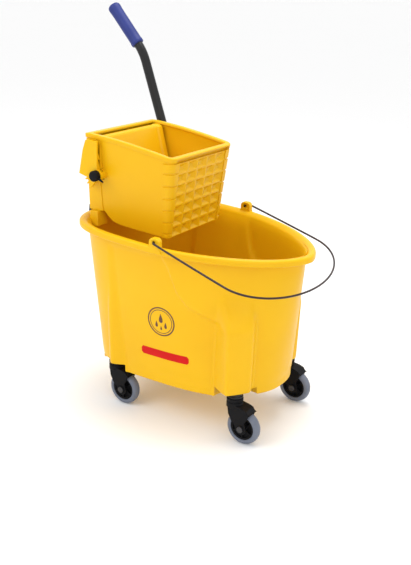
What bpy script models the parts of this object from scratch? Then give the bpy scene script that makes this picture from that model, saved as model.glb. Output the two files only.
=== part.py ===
"""Mop bucket on four swivel casters with a side-press wringer and a lever handle.

All dimensions are in millimetres and are turned to metres when a mesh is made.
The frame has +X towards the open front end of the bucket, +Y towards the side that
carries the lever handle, and +Z up, with the floor at Z = 0.
"""
import math

import bmesh
import bpy
import numpy as np
from mathutils import Matrix, Vector

MM = 0.001
GAP = 0.3                      # air left between pieces that touch
SHIFT_X = 51.15                # bucket centre, measured from the middle of the whole object

# Bucket
RIM_REAR_X = -260.5            # crest line of the rim
RIM_FRONT_X = 256.5
RIM_WIDTH = 377.0
RIM_Z = 418.7                  # height of the rim crest above the bucket centre
RIM_SLOPE = -0.06              # the rim falls towards the front
WIDEST_X = -24.0
WALL = 4.0
LIP_OUT = 6.5                  # rolled lip beyond the crest line
LIP_DROP = 15.0
WALL_INSET = 12.0              # crest line to the outer face of the wall
FOOT_Z = 100.0
KEEL_Z = 85.0
REAR_FOOT_X = -224.0
FRONT_FOOT_X = 212.0
FRONT_KEEL_LIFT = 10.0         # the foot's edge is higher and set back under the open end
FRONT_KEEL_INSET = 34.0
FOOT_HALF_WIDTH = 146.0
PANEL_RECESS = 8.0
POST_TOP_Z = 330.0
POST_FULL_Z = 250.0
POST_OUT_LOW = 16.5            # post face beyond the caster's axis, at the foot and higher up
POST_OUT_HIGH = 21.5
PLATFORM_REAR_Z = 104.0
PLATFORM_FRONT_Z = 112.0
RING_POINTS = 72

# Casters
STEM_REAR_X = -156.0
STEM_FRONT_X = 160.0
STEM_Y = 120.0
STEM_R = 5.5
STEM_TOP_Z = 132.0
NOTCH_REAR_R = 40.0
NOTCH_FRONT_R = 50.0
WHEEL_R = 38.0
TYRE_WIDTH = 20.0
HUB_R = 27.0
TRAIL = 24.0
AXLE_R = 4.0
COLLAR_R = 17.5
COLLAR_TOP_Z = PLATFORM_FRONT_Z - GAP
RACE_Z = 103.0
CROWN_Z = 82.0
FORK_GAP = 13.0                # half the space between the fork's legs
FORK_PLATE = 3.0

# Bail
BAIL_X = -3.0
BAIL_Z = 430.0
BAIL_WIRE_R = 2.25
BAIL_DROOP = math.radians(17.5)
BAIL_ARM = 187.0
BAIL_NOSE = 110.0
BAIL_END_Y = 200.0
BAIL_WIDE_Y = 205.0
LUG_TOP_Z = 438.8
LUG_HALF = 12.5

# Wringer housing
HOUSING_TOP_REAR = (-239.0, 620.0)
HOUSING_TOP_FRONT = (-7.5, 589.0)
HOUSING_REAR_LEAN = -0.03      # the rear wall goes back a little as it goes down
HOUSING_FRONT_LEAN = 0.115
SIDE_FOOT_Y = 105.5
SIDE_FOOT_Z = 408.0
SIDE_SLOPE = 0.0955
CORNER_TOP_R = 18.0            # rounding of the two front corners
CORNER_FOOT_R = 8.0
RIM_BAND = 12.0
RIM_PROUD = 2.5                # the rim stands this far out from the walls
HOUSING_WALL = 3.5
HOUSING_FLOOR = 3.5
FEET_Z = 446.0

# Drive
SHAFT_X = -199.4
SHAFT_Z = 532.2
SHAFT_R = 8.0
GEAR_MODULE = 3.2
DRIVE_TEETH = 22
PLATE_TEETH = 18
GEAR_LINE = math.radians(102.0)
GEAR_Y = (124.0, 131.0)
PLATE_SHAFT_R = 5.0
PLATE_LEAN = math.tan(math.radians(19.0))
PLATE_BOTTOM_Z = 425.0
PLATE_THICK = 4.0
COVER_OUT_Y = 136.5

# Handle
HANDLE_Y = 151.5
TUBE_R = 11.0
GRIP_R = 15.5
HANDLE_LEAN = math.radians(19.4)
GRIP_LEAN = math.radians(41.0)
BEND_POINT = (-285.2, 775.8)
GRIP_TOP = (-377.9, 882.5)
BOLT_UP = 56.0                 # from the shaft to the bolt through sleeve and tube

CORNERS = {
    "front_left": (STEM_FRONT_X, STEM_Y),
    "front_right": (STEM_FRONT_X, -STEM_Y),
    "rear_left": (STEM_REAR_X, STEM_Y),
    "rear_right": (STEM_REAR_X, -STEM_Y),
}
SIDES = {"left": 1.0, "right": -1.0}

PITCH_DRIVE = GEAR_MODULE * DRIVE_TEETH / 2
PITCH_PLATE = GEAR_MODULE * PLATE_TEETH / 2
GEAR_DISTANCE = PITCH_DRIVE + PITCH_PLATE
HINGE_X = SHAFT_X + GEAR_DISTANCE * math.cos(GEAR_LINE)
HINGE_Z = SHAFT_Z + GEAR_DISTANCE * math.sin(GEAR_LINE)


# ---------------------------------------------------------------- scene and materials

def clear_scene():
    for old in list(bpy.data.objects):
        bpy.data.objects.remove(old, do_unlink=True)


def material(name, colour, roughness, metallic=0.0):
    """A Principled material, made once for each name."""
    found = bpy.data.materials.get(name)
    if found:
        return found
    made = bpy.data.materials.new(name)
    made.use_nodes = True
    shader = made.node_tree.nodes["Principled BSDF"]
    shader.inputs["Base Color"].default_value = (*colour, 1.0)
    shader.inputs["Roughness"].default_value = roughness
    shader.inputs["Metallic"].default_value = metallic
    made.diffuse_color = (*colour, 1.0)
    return made


def yellow_plastic():
    return material("yellow_plastic", (0.89, 0.50, 0.012), 0.34)


def black_plastic():
    return material("black_plastic", (0.012, 0.012, 0.014), 0.38)


def grey_rubber():
    return material("grey_rubber", (0.16, 0.18, 0.21), 0.62)


def blue_grip():
    return material("blue_grip", (0.03, 0.06, 0.36), 0.5)


def black_steel():
    return material("black_steel", (0.02, 0.02, 0.022), 0.35, 0.6)


def zinc_steel():
    return material("zinc_steel", (0.55, 0.56, 0.58), 0.3, 1.0)


def brown_wire():
    return material("brown_wire", (0.045, 0.02, 0.018), 0.4, 0.5)


# ---------------------------------------------------------------- mesh helpers

def make_object(name, points, faces, skin, smooth=True):
    """A mesh object from points in millimetres, closed and facing out."""
    mesh = bpy.data.meshes.new(name)
    scaled = [(x * MM, y * MM, z * MM) for x, y, z in points]
    mesh.from_pydata(scaled, [], [tuple(face) for face in faces])
    work = bmesh.new()
    work.from_mesh(mesh)
    bmesh.ops.recalc_face_normals(work, faces=work.faces)
    work.to_mesh(mesh)
    work.free()
    if smooth:
        mesh.shade_smooth()
        mesh.set_sharp_from_angle(angle=math.radians(35))
    mesh.materials.append(skin)
    made = bpy.data.objects.new(name, mesh)
    bpy.context.collection.objects.link(made)
    return made


def loft(name, rings, skin, smooth=True):
    """A closed skin over rings of equal length, with a flat face over each end."""
    count = len(rings[0])
    points = [tuple(point) for ring in rings for point in ring]
    faces = []
    for row in range(len(rings) - 1):
        for step in range(count):
            after = (step + 1) % count
            low = row * count
            high = low + count
            faces.append((low + step, low + after, high + after, high + step))
    last = (len(rings) - 1) * count
    faces.append(tuple(range(count)))
    faces.append(tuple(range(last, last + count)))
    return make_object(name, points, faces, skin, smooth)


def prism(name, outline, low, high, skin, axis="Y", smooth=False, top_outline=None):
    """An outline in the plane across the axis, carried from low to high along it."""
    def put(pair, along):
        first, second = pair
        if axis == "Y":
            return (first, along, second)
        if axis == "X":
            return (along, first, second)
        return (first, second, along)

    upper = outline if top_outline is None else top_outline
    count = len(outline)
    points = [put(pair, low) for pair in outline]
    points += [put(pair, high) for pair in upper]
    faces = [tuple(range(count)), tuple(range(2 * count - 1, count - 1, -1))]
    for step in range(count):
        after = (step + 1) % count
        faces.append((step, after, count + after, count + step))
    return make_object(name, points, faces, skin, smooth)


def turned(name, profile, skin, centre=(0.0, 0.0, 0.0), axis="Z", segments=16):
    """A closed profile of (radius, height) pairs turned about an axis through centre."""
    rings = []
    angles = np.linspace(0, 2 * math.pi, segments, endpoint=False)
    solid = profile[0][0] < 1e-6
    body = profile[1:-1] if solid else profile
    for radius, height in body:
        ring = []
        for angle in angles:
            across = radius * math.cos(angle)
            side = radius * math.sin(angle)
            local = {"Z": (across, side, height), "Y": (across, height, side),
                     "X": (height, across, side)}[axis]
            ring.append(np.add(local, centre))
        rings.append(ring)
    if solid:
        return loft(name, rings, skin)
    points = [tuple(point) for ring in rings for point in ring]
    faces = []
    rows = len(rings)
    for row in range(rows):
        low = row * segments
        high = ((row + 1) % rows) * segments
        for step in range(segments):
            after = (step + 1) % segments
            faces.append((low + step, low + after, high + after, high + step))
    return make_object(name, points, faces, skin)


def sweep(name, path, radius, skin, sides=10):
    """A round bar along a path; radius may be a number or one value for each point."""
    path = [Vector(point) for point in path]
    radii = [radius] * len(path) if isinstance(radius, (int, float)) else radius
    rings = []
    side_way = None
    for index, point in enumerate(path):
        before = path[max(index - 1, 0)]
        after = path[min(index + 1, len(path) - 1)]
        along = (after - before).normalized()
        if side_way is None:
            helper = Vector((0, 1, 0)) if abs(along.y) < 0.9 else Vector((0, 0, 1))
            side_way = along.cross(helper).normalized()
        side_way = (side_way - along * side_way.dot(along)).normalized()
        other = along.cross(side_way)
        ring = []
        for step in range(sides):
            angle = 2 * math.pi * step / sides
            offset = side_way * math.cos(angle) + other * math.sin(angle)
            ring.append(tuple(point + offset * radii[index]))
        rings.append(ring)
    return loft(name, rings, skin)


def arc(centre, radius, start, end, count):
    """Points on an arc in degrees, as pairs."""
    angles = np.radians(np.linspace(start, end, count))
    return [(centre[0] + radius * math.cos(a), centre[1] + radius * math.sin(a)) for a in angles]


def cut(target, cutter, how="DIFFERENCE"):
    """Cut the target by, or unite it with, a hidden helper solid."""
    cutter.hide_render = True
    cutter.display_type = 'WIRE'
    tool = target.modifiers.new(cutter.name, 'BOOLEAN')
    tool.operation = how
    tool.solver = 'EXACT'
    tool.object = cutter


def round_cutter(name, centre, radius, low, high, axis="Z", segments=20):
    profile = [(0, low), (radius, low), (radius, high), (0, high)]
    return turned(name, profile, black_plastic(), centre, axis, segments)


def box(name, low, high, skin):
    outline = [(low[0], low[1]), (high[0], low[1]), (high[0], high[1]), (low[0], high[1])]
    return prism(name, outline, low[2], high[2], skin, axis="Z")


def pivot(name, location, parent=None):
    """An empty on a joint's axis; location is in millimetres in the bucket's frame."""
    made = bpy.data.objects.new(name, None)
    bpy.context.collection.objects.link(made)
    base = Vector(parent["spot"]) if parent else Vector((0, 0, 0))
    made["spot"] = location
    made.parent = parent
    made.location = (Vector(location) - base) * MM
    made.empty_display_size = 0.02
    return made


def attach(piece, parent):
    """Hang a piece on an empty, keeping its shape where it was drawn."""
    offset = Vector(parent["spot"]) * MM
    piece.data.transform(Matrix.Translation(-offset))
    piece.parent = parent
    for tool in piece.modifiers:
        helper = getattr(tool, "object", None)
        if helper is not None and helper.parent is None:
            helper.data.transform(Matrix.Translation(-offset))
            helper.parent = parent


def smooth_step(value, start, end):
    share = min(max((value - start) / (end - start), 0.0), 1.0)
    return share * share * (3 - 2 * share)


def mix(start, end, share):
    return start + (end - start) * share


# ---------------------------------------------------------------- bucket

def oval(turn, rear, front, half_width, front_power):
    """One point of the bucket's outline: square-shouldered behind, oval in front."""
    across, along = math.sin(turn), math.cos(turn)
    power = front_power if along > 0 else 0.54
    reach = front - WIDEST_X if along > 0 else WIDEST_X - rear
    x = WIDEST_X + math.copysign(abs(along) ** power, along) * reach
    y = math.copysign(abs(across) ** power, across) * half_width
    return x, y


def rim_height(x):
    return RIM_Z + RIM_SLOPE * x


def rim_point(turn, out, drop):
    """A point of the rim, moved out from the crest line and down from it."""
    x, y = oval(turn, RIM_REAR_X - out, RIM_FRONT_X + out, RIM_WIDTH / 2 + out, 1.17)
    return x, y, rim_height(x) - drop


def post_push(x, y, z):
    """Radius gained over a caster, where the wall bulges into an upright post."""
    radius = math.hypot(x, y)
    stem_x = STEM_FRONT_X if x > 0 else STEM_REAR_X
    post_angle = math.atan2(STEM_Y, stem_x)
    off = abs(math.atan2(abs(y), x) - post_angle)
    share = 1 - smooth_step(math.degrees(off), 6.5, 13.0)
    share *= 1 - smooth_step(z, POST_FULL_Z, POST_TOP_Z)
    rise = min(max((z - FOOT_Z) / (POST_FULL_Z - FOOT_Z), 0.0), 1.0)
    outer = math.hypot(stem_x, STEM_Y) + mix(POST_OUT_LOW, POST_OUT_HIGH, rise)
    return max(outer - radius, 0.0) * share


def wall_point(turn, z, inset=0.0):
    """A point of the hull's outer face at height z, moved in by inset."""
    top = RIM_Z - LIP_DROP
    share = (z - FOOT_Z) / (top - FOOT_Z)
    rear = mix(REAR_FOOT_X, RIM_REAR_X + WALL_INSET, share)
    front = mix(FRONT_FOOT_X, RIM_FRONT_X - WALL_INSET, share)
    half_width = mix(FOOT_HALF_WIDTH, RIM_WIDTH / 2 - WALL_INSET, share)
    front_power = mix(0.85, 1.17, max(share, 0.0))
    x, y = oval(turn, rear, front, half_width, front_power)
    side = smooth_step(x, -150, -120) * (1 - smooth_step(x, 112, 128))
    side *= 1 - smooth_step(z, POST_FULL_Z, POST_TOP_Z)
    y -= math.copysign(PANEL_RECESS * side, y) if abs(y) > 60 else 0.0
    push = post_push(x, y, z) - inset
    radius = math.hypot(x, y)
    return x * (1 + push / radius), y * (1 + push / radius)


def keel_point(turn, inset=0.0):
    """The hull's foot, notched round the four casters."""
    x, y = wall_point(turn, FOOT_Z, inset + 1.0)
    radius = math.hypot(x, y)
    angle = math.atan2(abs(y), x)
    stem_x = STEM_FRONT_X if x > 0 else STEM_REAR_X
    reach = math.hypot(stem_x, STEM_Y)
    off = angle - math.atan2(STEM_Y, stem_x)
    notch = (NOTCH_FRONT_R if x > 0 else NOTCH_REAR_R) + inset
    if abs(reach * math.sin(off)) < notch:
        near = reach * math.cos(off) - math.sqrt(notch ** 2 - (reach * math.sin(off)) ** 2)
        radius_now = min(radius, near)
        return x * radius_now / radius, y * radius_now / radius
    return x, y


def platform_z(x):
    return mix(PLATFORM_REAR_Z, PLATFORM_FRONT_Z, smooth_step(x, -60, 60))


def front_share(x):
    """None at the sides of the foot, all at its front end."""
    return smooth_step(x, 110, 170)


def foot_ring(turns, inset, z):
    """The flat edge of the foot's underside, or of the floor inside it."""
    ring = []
    for turn in turns:
        share = front_share(keel_point(turn, inset)[0])
        ring.append((*keel_point(turn, inset + FRONT_KEEL_INSET * share), z))
    return ring


def bucket_turns():
    """Angles round the bucket, closer together at the posts and corners."""
    return np.linspace(0, 2 * math.pi, RING_POINTS, endpoint=False) + math.pi / RING_POINTS


def make_bucket():
    turns = bucket_turns()
    rings = []
    rings.append(foot_ring(turns, 9.0, KEEL_Z))
    ring = [keel_point(t, 1.5) for t in turns]
    rings.append([(x, y, KEEL_Z + 3 + FRONT_KEEL_LIFT * front_share(x)) for x, y in ring])
    rings.append([(*keel_point(t, 0.6), FOOT_Z) for t in turns])
    ring = [keel_point(t) for t in turns]
    rings.append([(x, y, platform_z(x) - 0.5) for x, y in ring])
    for inset, lift in ((2.0, 0.0), (0.0, 3.0)):
        ring = [wall_point(t, FOOT_Z, inset) for t in turns]
        rings.append([(x, y, platform_z(x) + lift) for x, y in ring])
    for z in (170, POST_FULL_Z, 277, 303, POST_TOP_Z):
        rings.append([(*wall_point(t, z), z) for t in turns])
    for out, drop in ((-WALL_INSET, LIP_DROP + 1), (LIP_OUT - 2.5, LIP_DROP), (LIP_OUT, LIP_DROP - 4),
                      (LIP_OUT - 1, 5.0), (LIP_OUT - 5, 1.0), (-2.0, 0.0), (-7.0, 2.0)):
        rings.append([rim_point(t, out, drop) for t in turns])
    rings.append([rim_point(t, -WALL_INSET - WALL, 9.0) for t in turns])
    for z in (POST_TOP_Z, 290, POST_FULL_Z, 170, STEM_TOP_Z + 8):
        rings.append([(*wall_point(t, z, WALL), z) for t in turns])
    rings.append([(*wall_point(t, STEM_TOP_Z + 4, WALL + 6), STEM_TOP_Z + 4) for t in turns])
    for inset, z in ((WALL + 2, STEM_TOP_Z + 4), (WALL + 3, STEM_TOP_Z), (WALL + 4, 104.0)):
        rings.append([(*keel_point(t, inset), z) for t in turns])
    rings.append(foot_ring(turns, WALL + 12, KEEL_Z + WALL))
    shell = loft("bucket_shell", rings, yellow_plastic())

    for name, side in SIDES.items():
        lug = prism("lug_" + name, lug_outline(), side * 181.0, side * 194.5, yellow_plastic())
        cut(shell, lug, 'UNION')
        seat = seat_block(name, side)
        cut(shell, seat, 'UNION')
        hole = round_cutter("lug_hole_" + name, (BAIL_X, 0, BAIL_Z), BAIL_WIRE_R + 0.9,
                            side * 187.0 - 12, side * 187.0 + 12, axis="Y", segments=16)
        cut(shell, hole)
    for name, (x, y) in CORNERS.items():
        bore = round_cutter("stem_bore_" + name, (x, y, 0), STEM_R + GAP, 90, STEM_TOP_Z + 0.5)
        cut(shell, bore)
        if x < 0:
            pocket = round_cutter("collar_pocket_" + name, (x, y, 0), COLLAR_R + 4, 90,
                                  PLATFORM_FRONT_Z, segments=24)
            cut(shell, pocket)
    return shell


def lug_outline():
    foot = rim_height(0) - 12
    shoulder = 9.0
    left, right = BAIL_X - LUG_HALF, BAIL_X + LUG_HALF
    points = [(left - 4, foot), (right + 4, foot), (right, foot + 10)]
    points += arc((right - shoulder, LUG_TOP_Z - shoulder), shoulder, 0, 90, 5)
    points += arc((left + shoulder, LUG_TOP_Z - shoulder), shoulder, 90, 180, 5)
    points.append((left, foot + 10))
    return points


def seat_block(name, side):
    """The ledge inside the rear rim that a foot of the wringer stands on."""
    foot = [(-207, 86), (-207, 124), (-232, 124), (-248, 86)]
    head = [(-210, 90), (-210, 120), (-231, 120), (-243, 90)]
    outline = [(x, side * y) for x, y in foot]
    top_outline = [(x, side * y) for x, y in head]
    return prism("seat_" + name, outline, 414.0, FEET_Z - GAP, yellow_plastic(), "Z",
                 top_outline=top_outline)


# ---------------------------------------------------------------- casters

def make_caster(corner, x, y, bucket):
    spot = (x, y, 0)
    swivel = pivot("swivel_" + corner, spot, bucket)
    roll = pivot("roll_" + corner, (x + TRAIL, y, WHEEL_R), swivel)

    profile = [(0, RACE_Z - 16), (STEM_R, RACE_Z - 16), (STEM_R, RACE_Z), (COLLAR_R, RACE_Z),
               (COLLAR_R, RACE_Z + 3), (COLLAR_R - 2.5, RACE_Z + 4.5),
               (COLLAR_R - 2.5, COLLAR_TOP_Z), (STEM_R, COLLAR_TOP_Z), (STEM_R, STEM_TOP_Z - 1),
               (STEM_R - 1, STEM_TOP_Z), (0, STEM_TOP_Z)]
    stem = turned("caster_stem_" + corner, profile, black_steel(), spot)
    attach(stem, bucket)

    fork = make_fork(corner, x, y)
    attach(fork, swivel)
    attach(make_axle(corner, x, y), swivel)
    attach(make_hub(corner, x, y), roll)
    attach(make_tyre(corner, x, y), roll)


def make_fork(corner, x, y):
    """Neck, hooded crown and two legs in one moulding."""
    wheel_x = x + TRAIL
    inner_r = WHEEL_R + 2.0
    outline = [(x + 12, CROWN_Z + 4), (x + 4, RACE_Z - 4), (x - 6, RACE_Z - 4), (x - 9, 80), (x - 6, 66),
               (x + 2, 52)]
    outline += arc((wheel_x, WHEEL_R), 13.0, 170, 350, 8)
    outline += [(wheel_x + 8, 54), (wheel_x + 15, 66), (wheel_x + 18, 73), (wheel_x + 13, CROWN_Z + 2)]
    half = FORK_GAP + FORK_PLATE
    body = prism("caster_fork_" + corner, outline, y - half, y + half, black_plastic())
    gap_box = box("fork_gap_" + corner, (x - 40, y - FORK_GAP, 10), (wheel_x + 50, y + FORK_GAP, 60),
                  black_plastic())
    cut(body, gap_box)
    room = turned("fork_room_" + corner, [(0, -FORK_GAP), (inner_r, -FORK_GAP), (inner_r, FORK_GAP),
                  (0, FORK_GAP)], black_plastic(), (wheel_x, y, WHEEL_R), "Y", 24)
    cut(body, room)
    ring_r = COLLAR_R + 0.6
    neck = turned("fork_neck_" + corner, [(0, CROWN_Z - 2), (ring_r, CROWN_Z - 2), (ring_r, 92),
                  (ring_r - 1.8, 92), (ring_r - 1.8, 95), (ring_r, 95), (ring_r, RACE_Z - GAP),
                  (0, RACE_Z - GAP)], black_plastic(), (x, y, 0))
    cut(body, neck, 'UNION')
    bore = round_cutter("fork_bore_" + corner, (x, y, 0), STEM_R + GAP, 70, 130)
    cut(body, bore)
    hole = round_cutter("fork_hole_" + corner, (wheel_x, y, WHEEL_R), AXLE_R + GAP, -40, 40, "Y", 16)
    cut(body, hole)
    return body


def make_axle(corner, x, y):
    head = FORK_GAP + FORK_PLATE + GAP
    profile = [(0, -head - 4), (6.0, -head - 4), (7.0, -head - 3), (7.0, -head), (AXLE_R, -head),
               (AXLE_R, head), (6.5, head), (6.5, head + 4.5), (3.0, head + 4.5), (3.0, head + 6),
               (0, head + 6)]
    return turned("caster_axle_" + corner, profile, zinc_steel(), (x + TRAIL, y, WHEEL_R), "Y", 12)


def make_hub(corner, x, y):
    bore = AXLE_R + GAP
    boss = FORK_GAP - 0.8
    web = 4.0
    rim = TYRE_WIDTH / 2 - 2
    profile = [(bore, -boss), (9.0, -boss), (10.0, -web), (HUB_R - 5, -web), (HUB_R - 4, -rim),
               (HUB_R - GAP, -rim), (HUB_R - GAP, rim), (HUB_R - 4, rim), (HUB_R - 5, web),
               (10.0, web), (9.0, boss), (bore, boss)]
    return turned("wheel_hub_" + corner, profile, black_plastic(), (x + TRAIL, y, WHEEL_R), "Y", 18)


def make_tyre(corner, x, y):
    half = TYRE_WIDTH / 2
    profile = [(HUB_R, -half + 2), (HUB_R + 2, -half), (WHEEL_R - 5, -half + 0.6),
               (WHEEL_R - 1.2, -half + 4), (WHEEL_R, 0), (WHEEL_R - 1.2, half - 4),
               (WHEEL_R - 5, half - 0.6), (HUB_R + 2, half), (HUB_R, half - 2)]
    return turned("tyre_" + corner, profile, grey_rubber(), (x + TRAIL, y, WHEEL_R), "Y", 24)


# ---------------------------------------------------------------- bail

def bail_path():
    """The wire from inside one lug, round the front of the bucket, to the other lug."""
    corner = 6.0
    half = [(0.0, 177.0), (0.0, 190.0)]
    half += [(corner - corner * math.cos(a), BAIL_END_Y - corner + corner * math.sin(a))
             for a in np.radians([0, 30, 60, 90])]
    for share in (0.2, 0.4, 0.6, 0.8):
        half.append((BAIL_ARM * share, mix(BAIL_END_Y, BAIL_WIDE_Y, math.sin(share * math.pi / 2))))
    for angle in np.radians(np.linspace(0, 90, 12)):
        half.append((BAIL_ARM + BAIL_NOSE * math.sin(angle), BAIL_WIDE_Y * math.cos(angle)))
    flat = half + [(along, -side) for along, side in reversed(half[:-1])]
    path = []
    for along, side in flat:
        path.append((BAIL_X + along * math.cos(BAIL_DROOP), side, BAIL_Z - along * math.sin(BAIL_DROOP)))
    return path


# ---------------------------------------------------------------- wringer housing

def housing_top(x):
    rear_x, rear_z = HOUSING_TOP_REAR
    front_x, front_z = HOUSING_TOP_FRONT
    share = (x - rear_x) / (front_x - rear_x)
    return rear_z + 1.0 - (rear_z + 1.0 - front_z) * max(share, 0.0) ** 1.5


def side_y(z):
    return SIDE_FOOT_Y + (z - SIDE_FOOT_Z) * SIDE_SLOPE


def rear_x(z):
    return HOUSING_TOP_REAR[0] + (HOUSING_TOP_REAR[1] - z) * HOUSING_REAR_LEAN


def front_x(z):
    return HOUSING_TOP_FRONT[0] - (HOUSING_TOP_FRONT[1] - z) * HOUSING_FRONT_LEAN


def floor_z(x):
    """Underside of the housing: low in front, swept up to the feet at the rear."""
    knots_x = [-230, -201, -199, -190, -178, -160, -120, -30]
    knots_z = [FEET_Z, FEET_Z, 444, 433, 424, 419.5, 416, 410.5]
    return float(np.interp(x, knots_x, knots_z))


def corner_radius(z):
    share = (z - SIDE_FOOT_Z) / (HOUSING_TOP_FRONT[1] - SIDE_FOOT_Z)
    return mix(CORNER_FOOT_R, CORNER_TOP_R, share)


def housing_ring(height_at, out, stations):
    """A ring round the housing at a height that may vary along X, rounded in front."""
    right = []
    for share in stations:
        guess = height_at(mix(-230.0, -20.0, share))
        back = rear_x(guess) - out
        nose = front_x(guess) + out
        x = mix(back, nose, share)
        z = height_at(x)
        y = side_y(z) + out
        corner = max(corner_radius(z) + out, 3.0)
        rounding = min(max((x - (nose - corner)) / corner, 0.0), 1.0)
        y -= corner * (1 - math.sqrt(max(1 - rounding ** 2, 0.0)))
        right.append((x, -y, z))
    left = [(x, -y, z) for x, y, z in reversed(right)]
    return right + left


def housing_stations():
    nose = [0.925, 0.95, 0.972, 0.99, 1.0]
    return [0.0, 0.06, 0.12, 0.175, 0.19, 0.23, 0.29, 0.4, 0.55, 0.7, 0.85] + nose


def make_housing():
    stations = housing_stations()
    band = RIM_BAND - 4.0
    wall = -RIM_PROUD

    def top(x):
        return housing_top(x)

    def under_band(x):
        return housing_top(x) - 10

    def inner_floor(x):
        return floor_z(x) + HOUSING_FLOOR

    rings = [housing_ring(floor_z, wall, stations), housing_ring(under_band, wall, stations),
             housing_ring(under_band, 0.0, stations), housing_ring(lambda x: top(x) - 1.5, 0.0, stations),
             housing_ring(top, -1.5, stations), housing_ring(top, -RIM_BAND + 1.0, stations),
             housing_ring(lambda x: top(x) - 2, -RIM_BAND, stations),
             housing_ring(lambda x: top(x) - 5, -RIM_BAND, stations),
             housing_ring(lambda x: top(x) - 8, -band, stations)]
    rings.append(housing_ring(inner_floor, wall - HOUSING_WALL, stations))
    shell = cup("wringer_housing", rings, yellow_plastic())

    window = box("rear_window", (-250, -84, 478), (rear_x(478) + 12, 84, 596), yellow_plastic())
    cut(shell, window)
    shaft_hole = round_cutter("shaft_hole", (SHAFT_X, 0, SHAFT_Z), 13.0, -160, 160, "Y", 24)
    cut(shell, shaft_hole)
    hinge_hole = round_cutter("hinge_hole", (HINGE_X, 0, HINGE_Z), PLATE_SHAFT_R + 0.6, -160, 160, "Y")
    cut(shell, hinge_hole)
    for row in range(5):
        x = -164 + row * 29
        slots = box("floor_slot_%d" % row, (x, -70, 400), (x + 9, 70, 440), yellow_plastic())
        cut(shell, slots)
    return shell


def cup(name, rings, skin):
    """Rings from the outer foot over the rim to the inner foot, closed across left to right."""
    count = len(rings[0])
    points = [tuple(point) for ring in rings for point in ring]
    faces = []
    for row in range(len(rings) - 1):
        for step in range(count):
            after = (step + 1) % count
            low = row * count
            high = low + count
            faces.append((low + step, low + after, high + after, high + step))
    for base in (0, (len(rings) - 1) * count):
        for step in range(count // 2 - 1):
            mirror = count - 1 - step
            faces.append((base + step, base + step + 1, base + mirror - 1, base + mirror))
    return make_object(name, points, faces, skin)


def make_rear_cover():
    """A panel screwed over the window in the housing's rear wall."""
    outline = []
    for z in (468, 606):
        outline.append((rear_x(z) + RIM_PROUD - GAP, z))
    for z, depth in ((606, 3.0), (601, 6.0), (473, 6.0), (468, 3.0)):
        outline.append((rear_x(z) + RIM_PROUD - GAP - depth, z))
    cover = prism("rear_cover", outline, -92, 92, yellow_plastic())
    deep = RIM_PROUD - 3.3
    hollow = prism("rear_cover_hollow", [(-210, 482), (-210, 592), (rear_x(592) + deep, 592),
                   (rear_x(482) + deep, 482)], -80, 80, yellow_plastic())
    cut(cover, hollow)
    return cover


def make_hook(name, side):
    """A strap that goes over the bucket's rear rim."""
    face = rear_x(455) + RIM_PROUD - 1.5
    outline = [(face, 464), (face, 437.5), (-272.8, 437.5), (-275.0, 417), (-279.0, 417),
               (-277.0, 441.5), (face - 6, 442), (face - 4, 446), (face - 4, 464)]
    low, high = sorted((side * 42.0, side * 68.0))
    return prism("rim_hook_" + name, outline, low, high, black_steel())


# ---------------------------------------------------------------- drive

def gear_outline(teeth, angle, first, last, hub_radius):
    """A toothed sector about the origin, tooth zero centred on angle, plus its round hub."""
    pitch = 2 * math.pi / teeth
    radius = GEAR_MODULE * teeth / 2
    root, tip = radius - 1.2 * GEAR_MODULE, radius + 0.85 * GEAR_MODULE
    shape = ((-0.31, root), (-0.2, radius), (-0.11, tip), (0.11, tip), (0.2, radius), (0.31, root))
    polar = []
    for index in range(first, last + 1):
        middle = angle + index * pitch
        polar += [(middle + share * pitch, reach) for share, reach in shape]
    start = polar[-1][0] + 0.25
    end = polar[0][0] + 2 * math.pi - 0.25
    polar += [(turn, hub_radius) for turn in np.linspace(start, end, 10)]
    return [(reach * math.cos(turn), reach * math.sin(turn)) for turn, reach in polar]


def make_gear(name, teeth, angle, first, last, hub_radius, bore, centre, side):
    low, high = sorted((side * GEAR_Y[0], side * GEAR_Y[1]))
    outline = [(centre[0] + x, centre[1] + z)
               for x, z in gear_outline(teeth, angle, first, last, hub_radius)]
    gear = prism(name, outline, low, high, yellow_plastic())
    hole = round_cutter(name + "_bore", (centre[0], 0, centre[1]), bore, low - 5, high + 5, "Y")
    cut(gear, hole)
    return gear


def make_gear_cover(name, side):
    """The ear outside the side wall that hides the meshing sectors."""
    low, high = sorted((side * 104.0, side * COVER_OUT_Y))
    front = [(-198, 607.4), (-198, 548)]
    nose = arc((SHAFT_X, SHAFT_Z), 13.4, 85, -100, 9)
    rear = [(-226, 525.5), (-248, 531.5), (-237.5, 585), (-229.5, 607.4)]
    cover = prism("gear_cover_" + name, front + nose + rear, low, high, yellow_plastic())

    inner = [(-201, 604.6), (-201, 548)] + arc((SHAFT_X, SHAFT_Z), 11.3, 85, 0, 5)
    inner += [(SHAFT_X + 11.3, 505), (-242, 505), (-244.6, 531.5), (-234.4, 585), (-227.5, 604.6)]
    low, high = sorted((side * 100.0, side * (COVER_OUT_Y - 3.0)))
    cut(cover, prism("gear_room_" + name, inner, low, high, yellow_plastic()))

    wall = RIM_PROUD - GAP
    slant = [(60, 500), (side_y(500) - wall, 500), (side_y(615) - wall, 615), (60, 615)]
    slant = [(side * y, z) for y, z in slant]
    cut(cover, prism("gear_slant_" + name, slant, -260, -170, yellow_plastic(), "X"))

    low, high = sorted((side * (GEAR_Y[0] - 0.8), side * (GEAR_Y[1] + 0.8)))
    cut(cover, box("gear_slot_" + name, (-215, low, 540), (-180, high, 620), yellow_plastic()))
    hole = round_cutter("cover_bore_" + name, (SHAFT_X, 0, SHAFT_Z), SHAFT_R + 0.5,
                        side * 136 - 8, side * 136 + 8, "Y")
    cut(cover, hole)
    return cover


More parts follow.
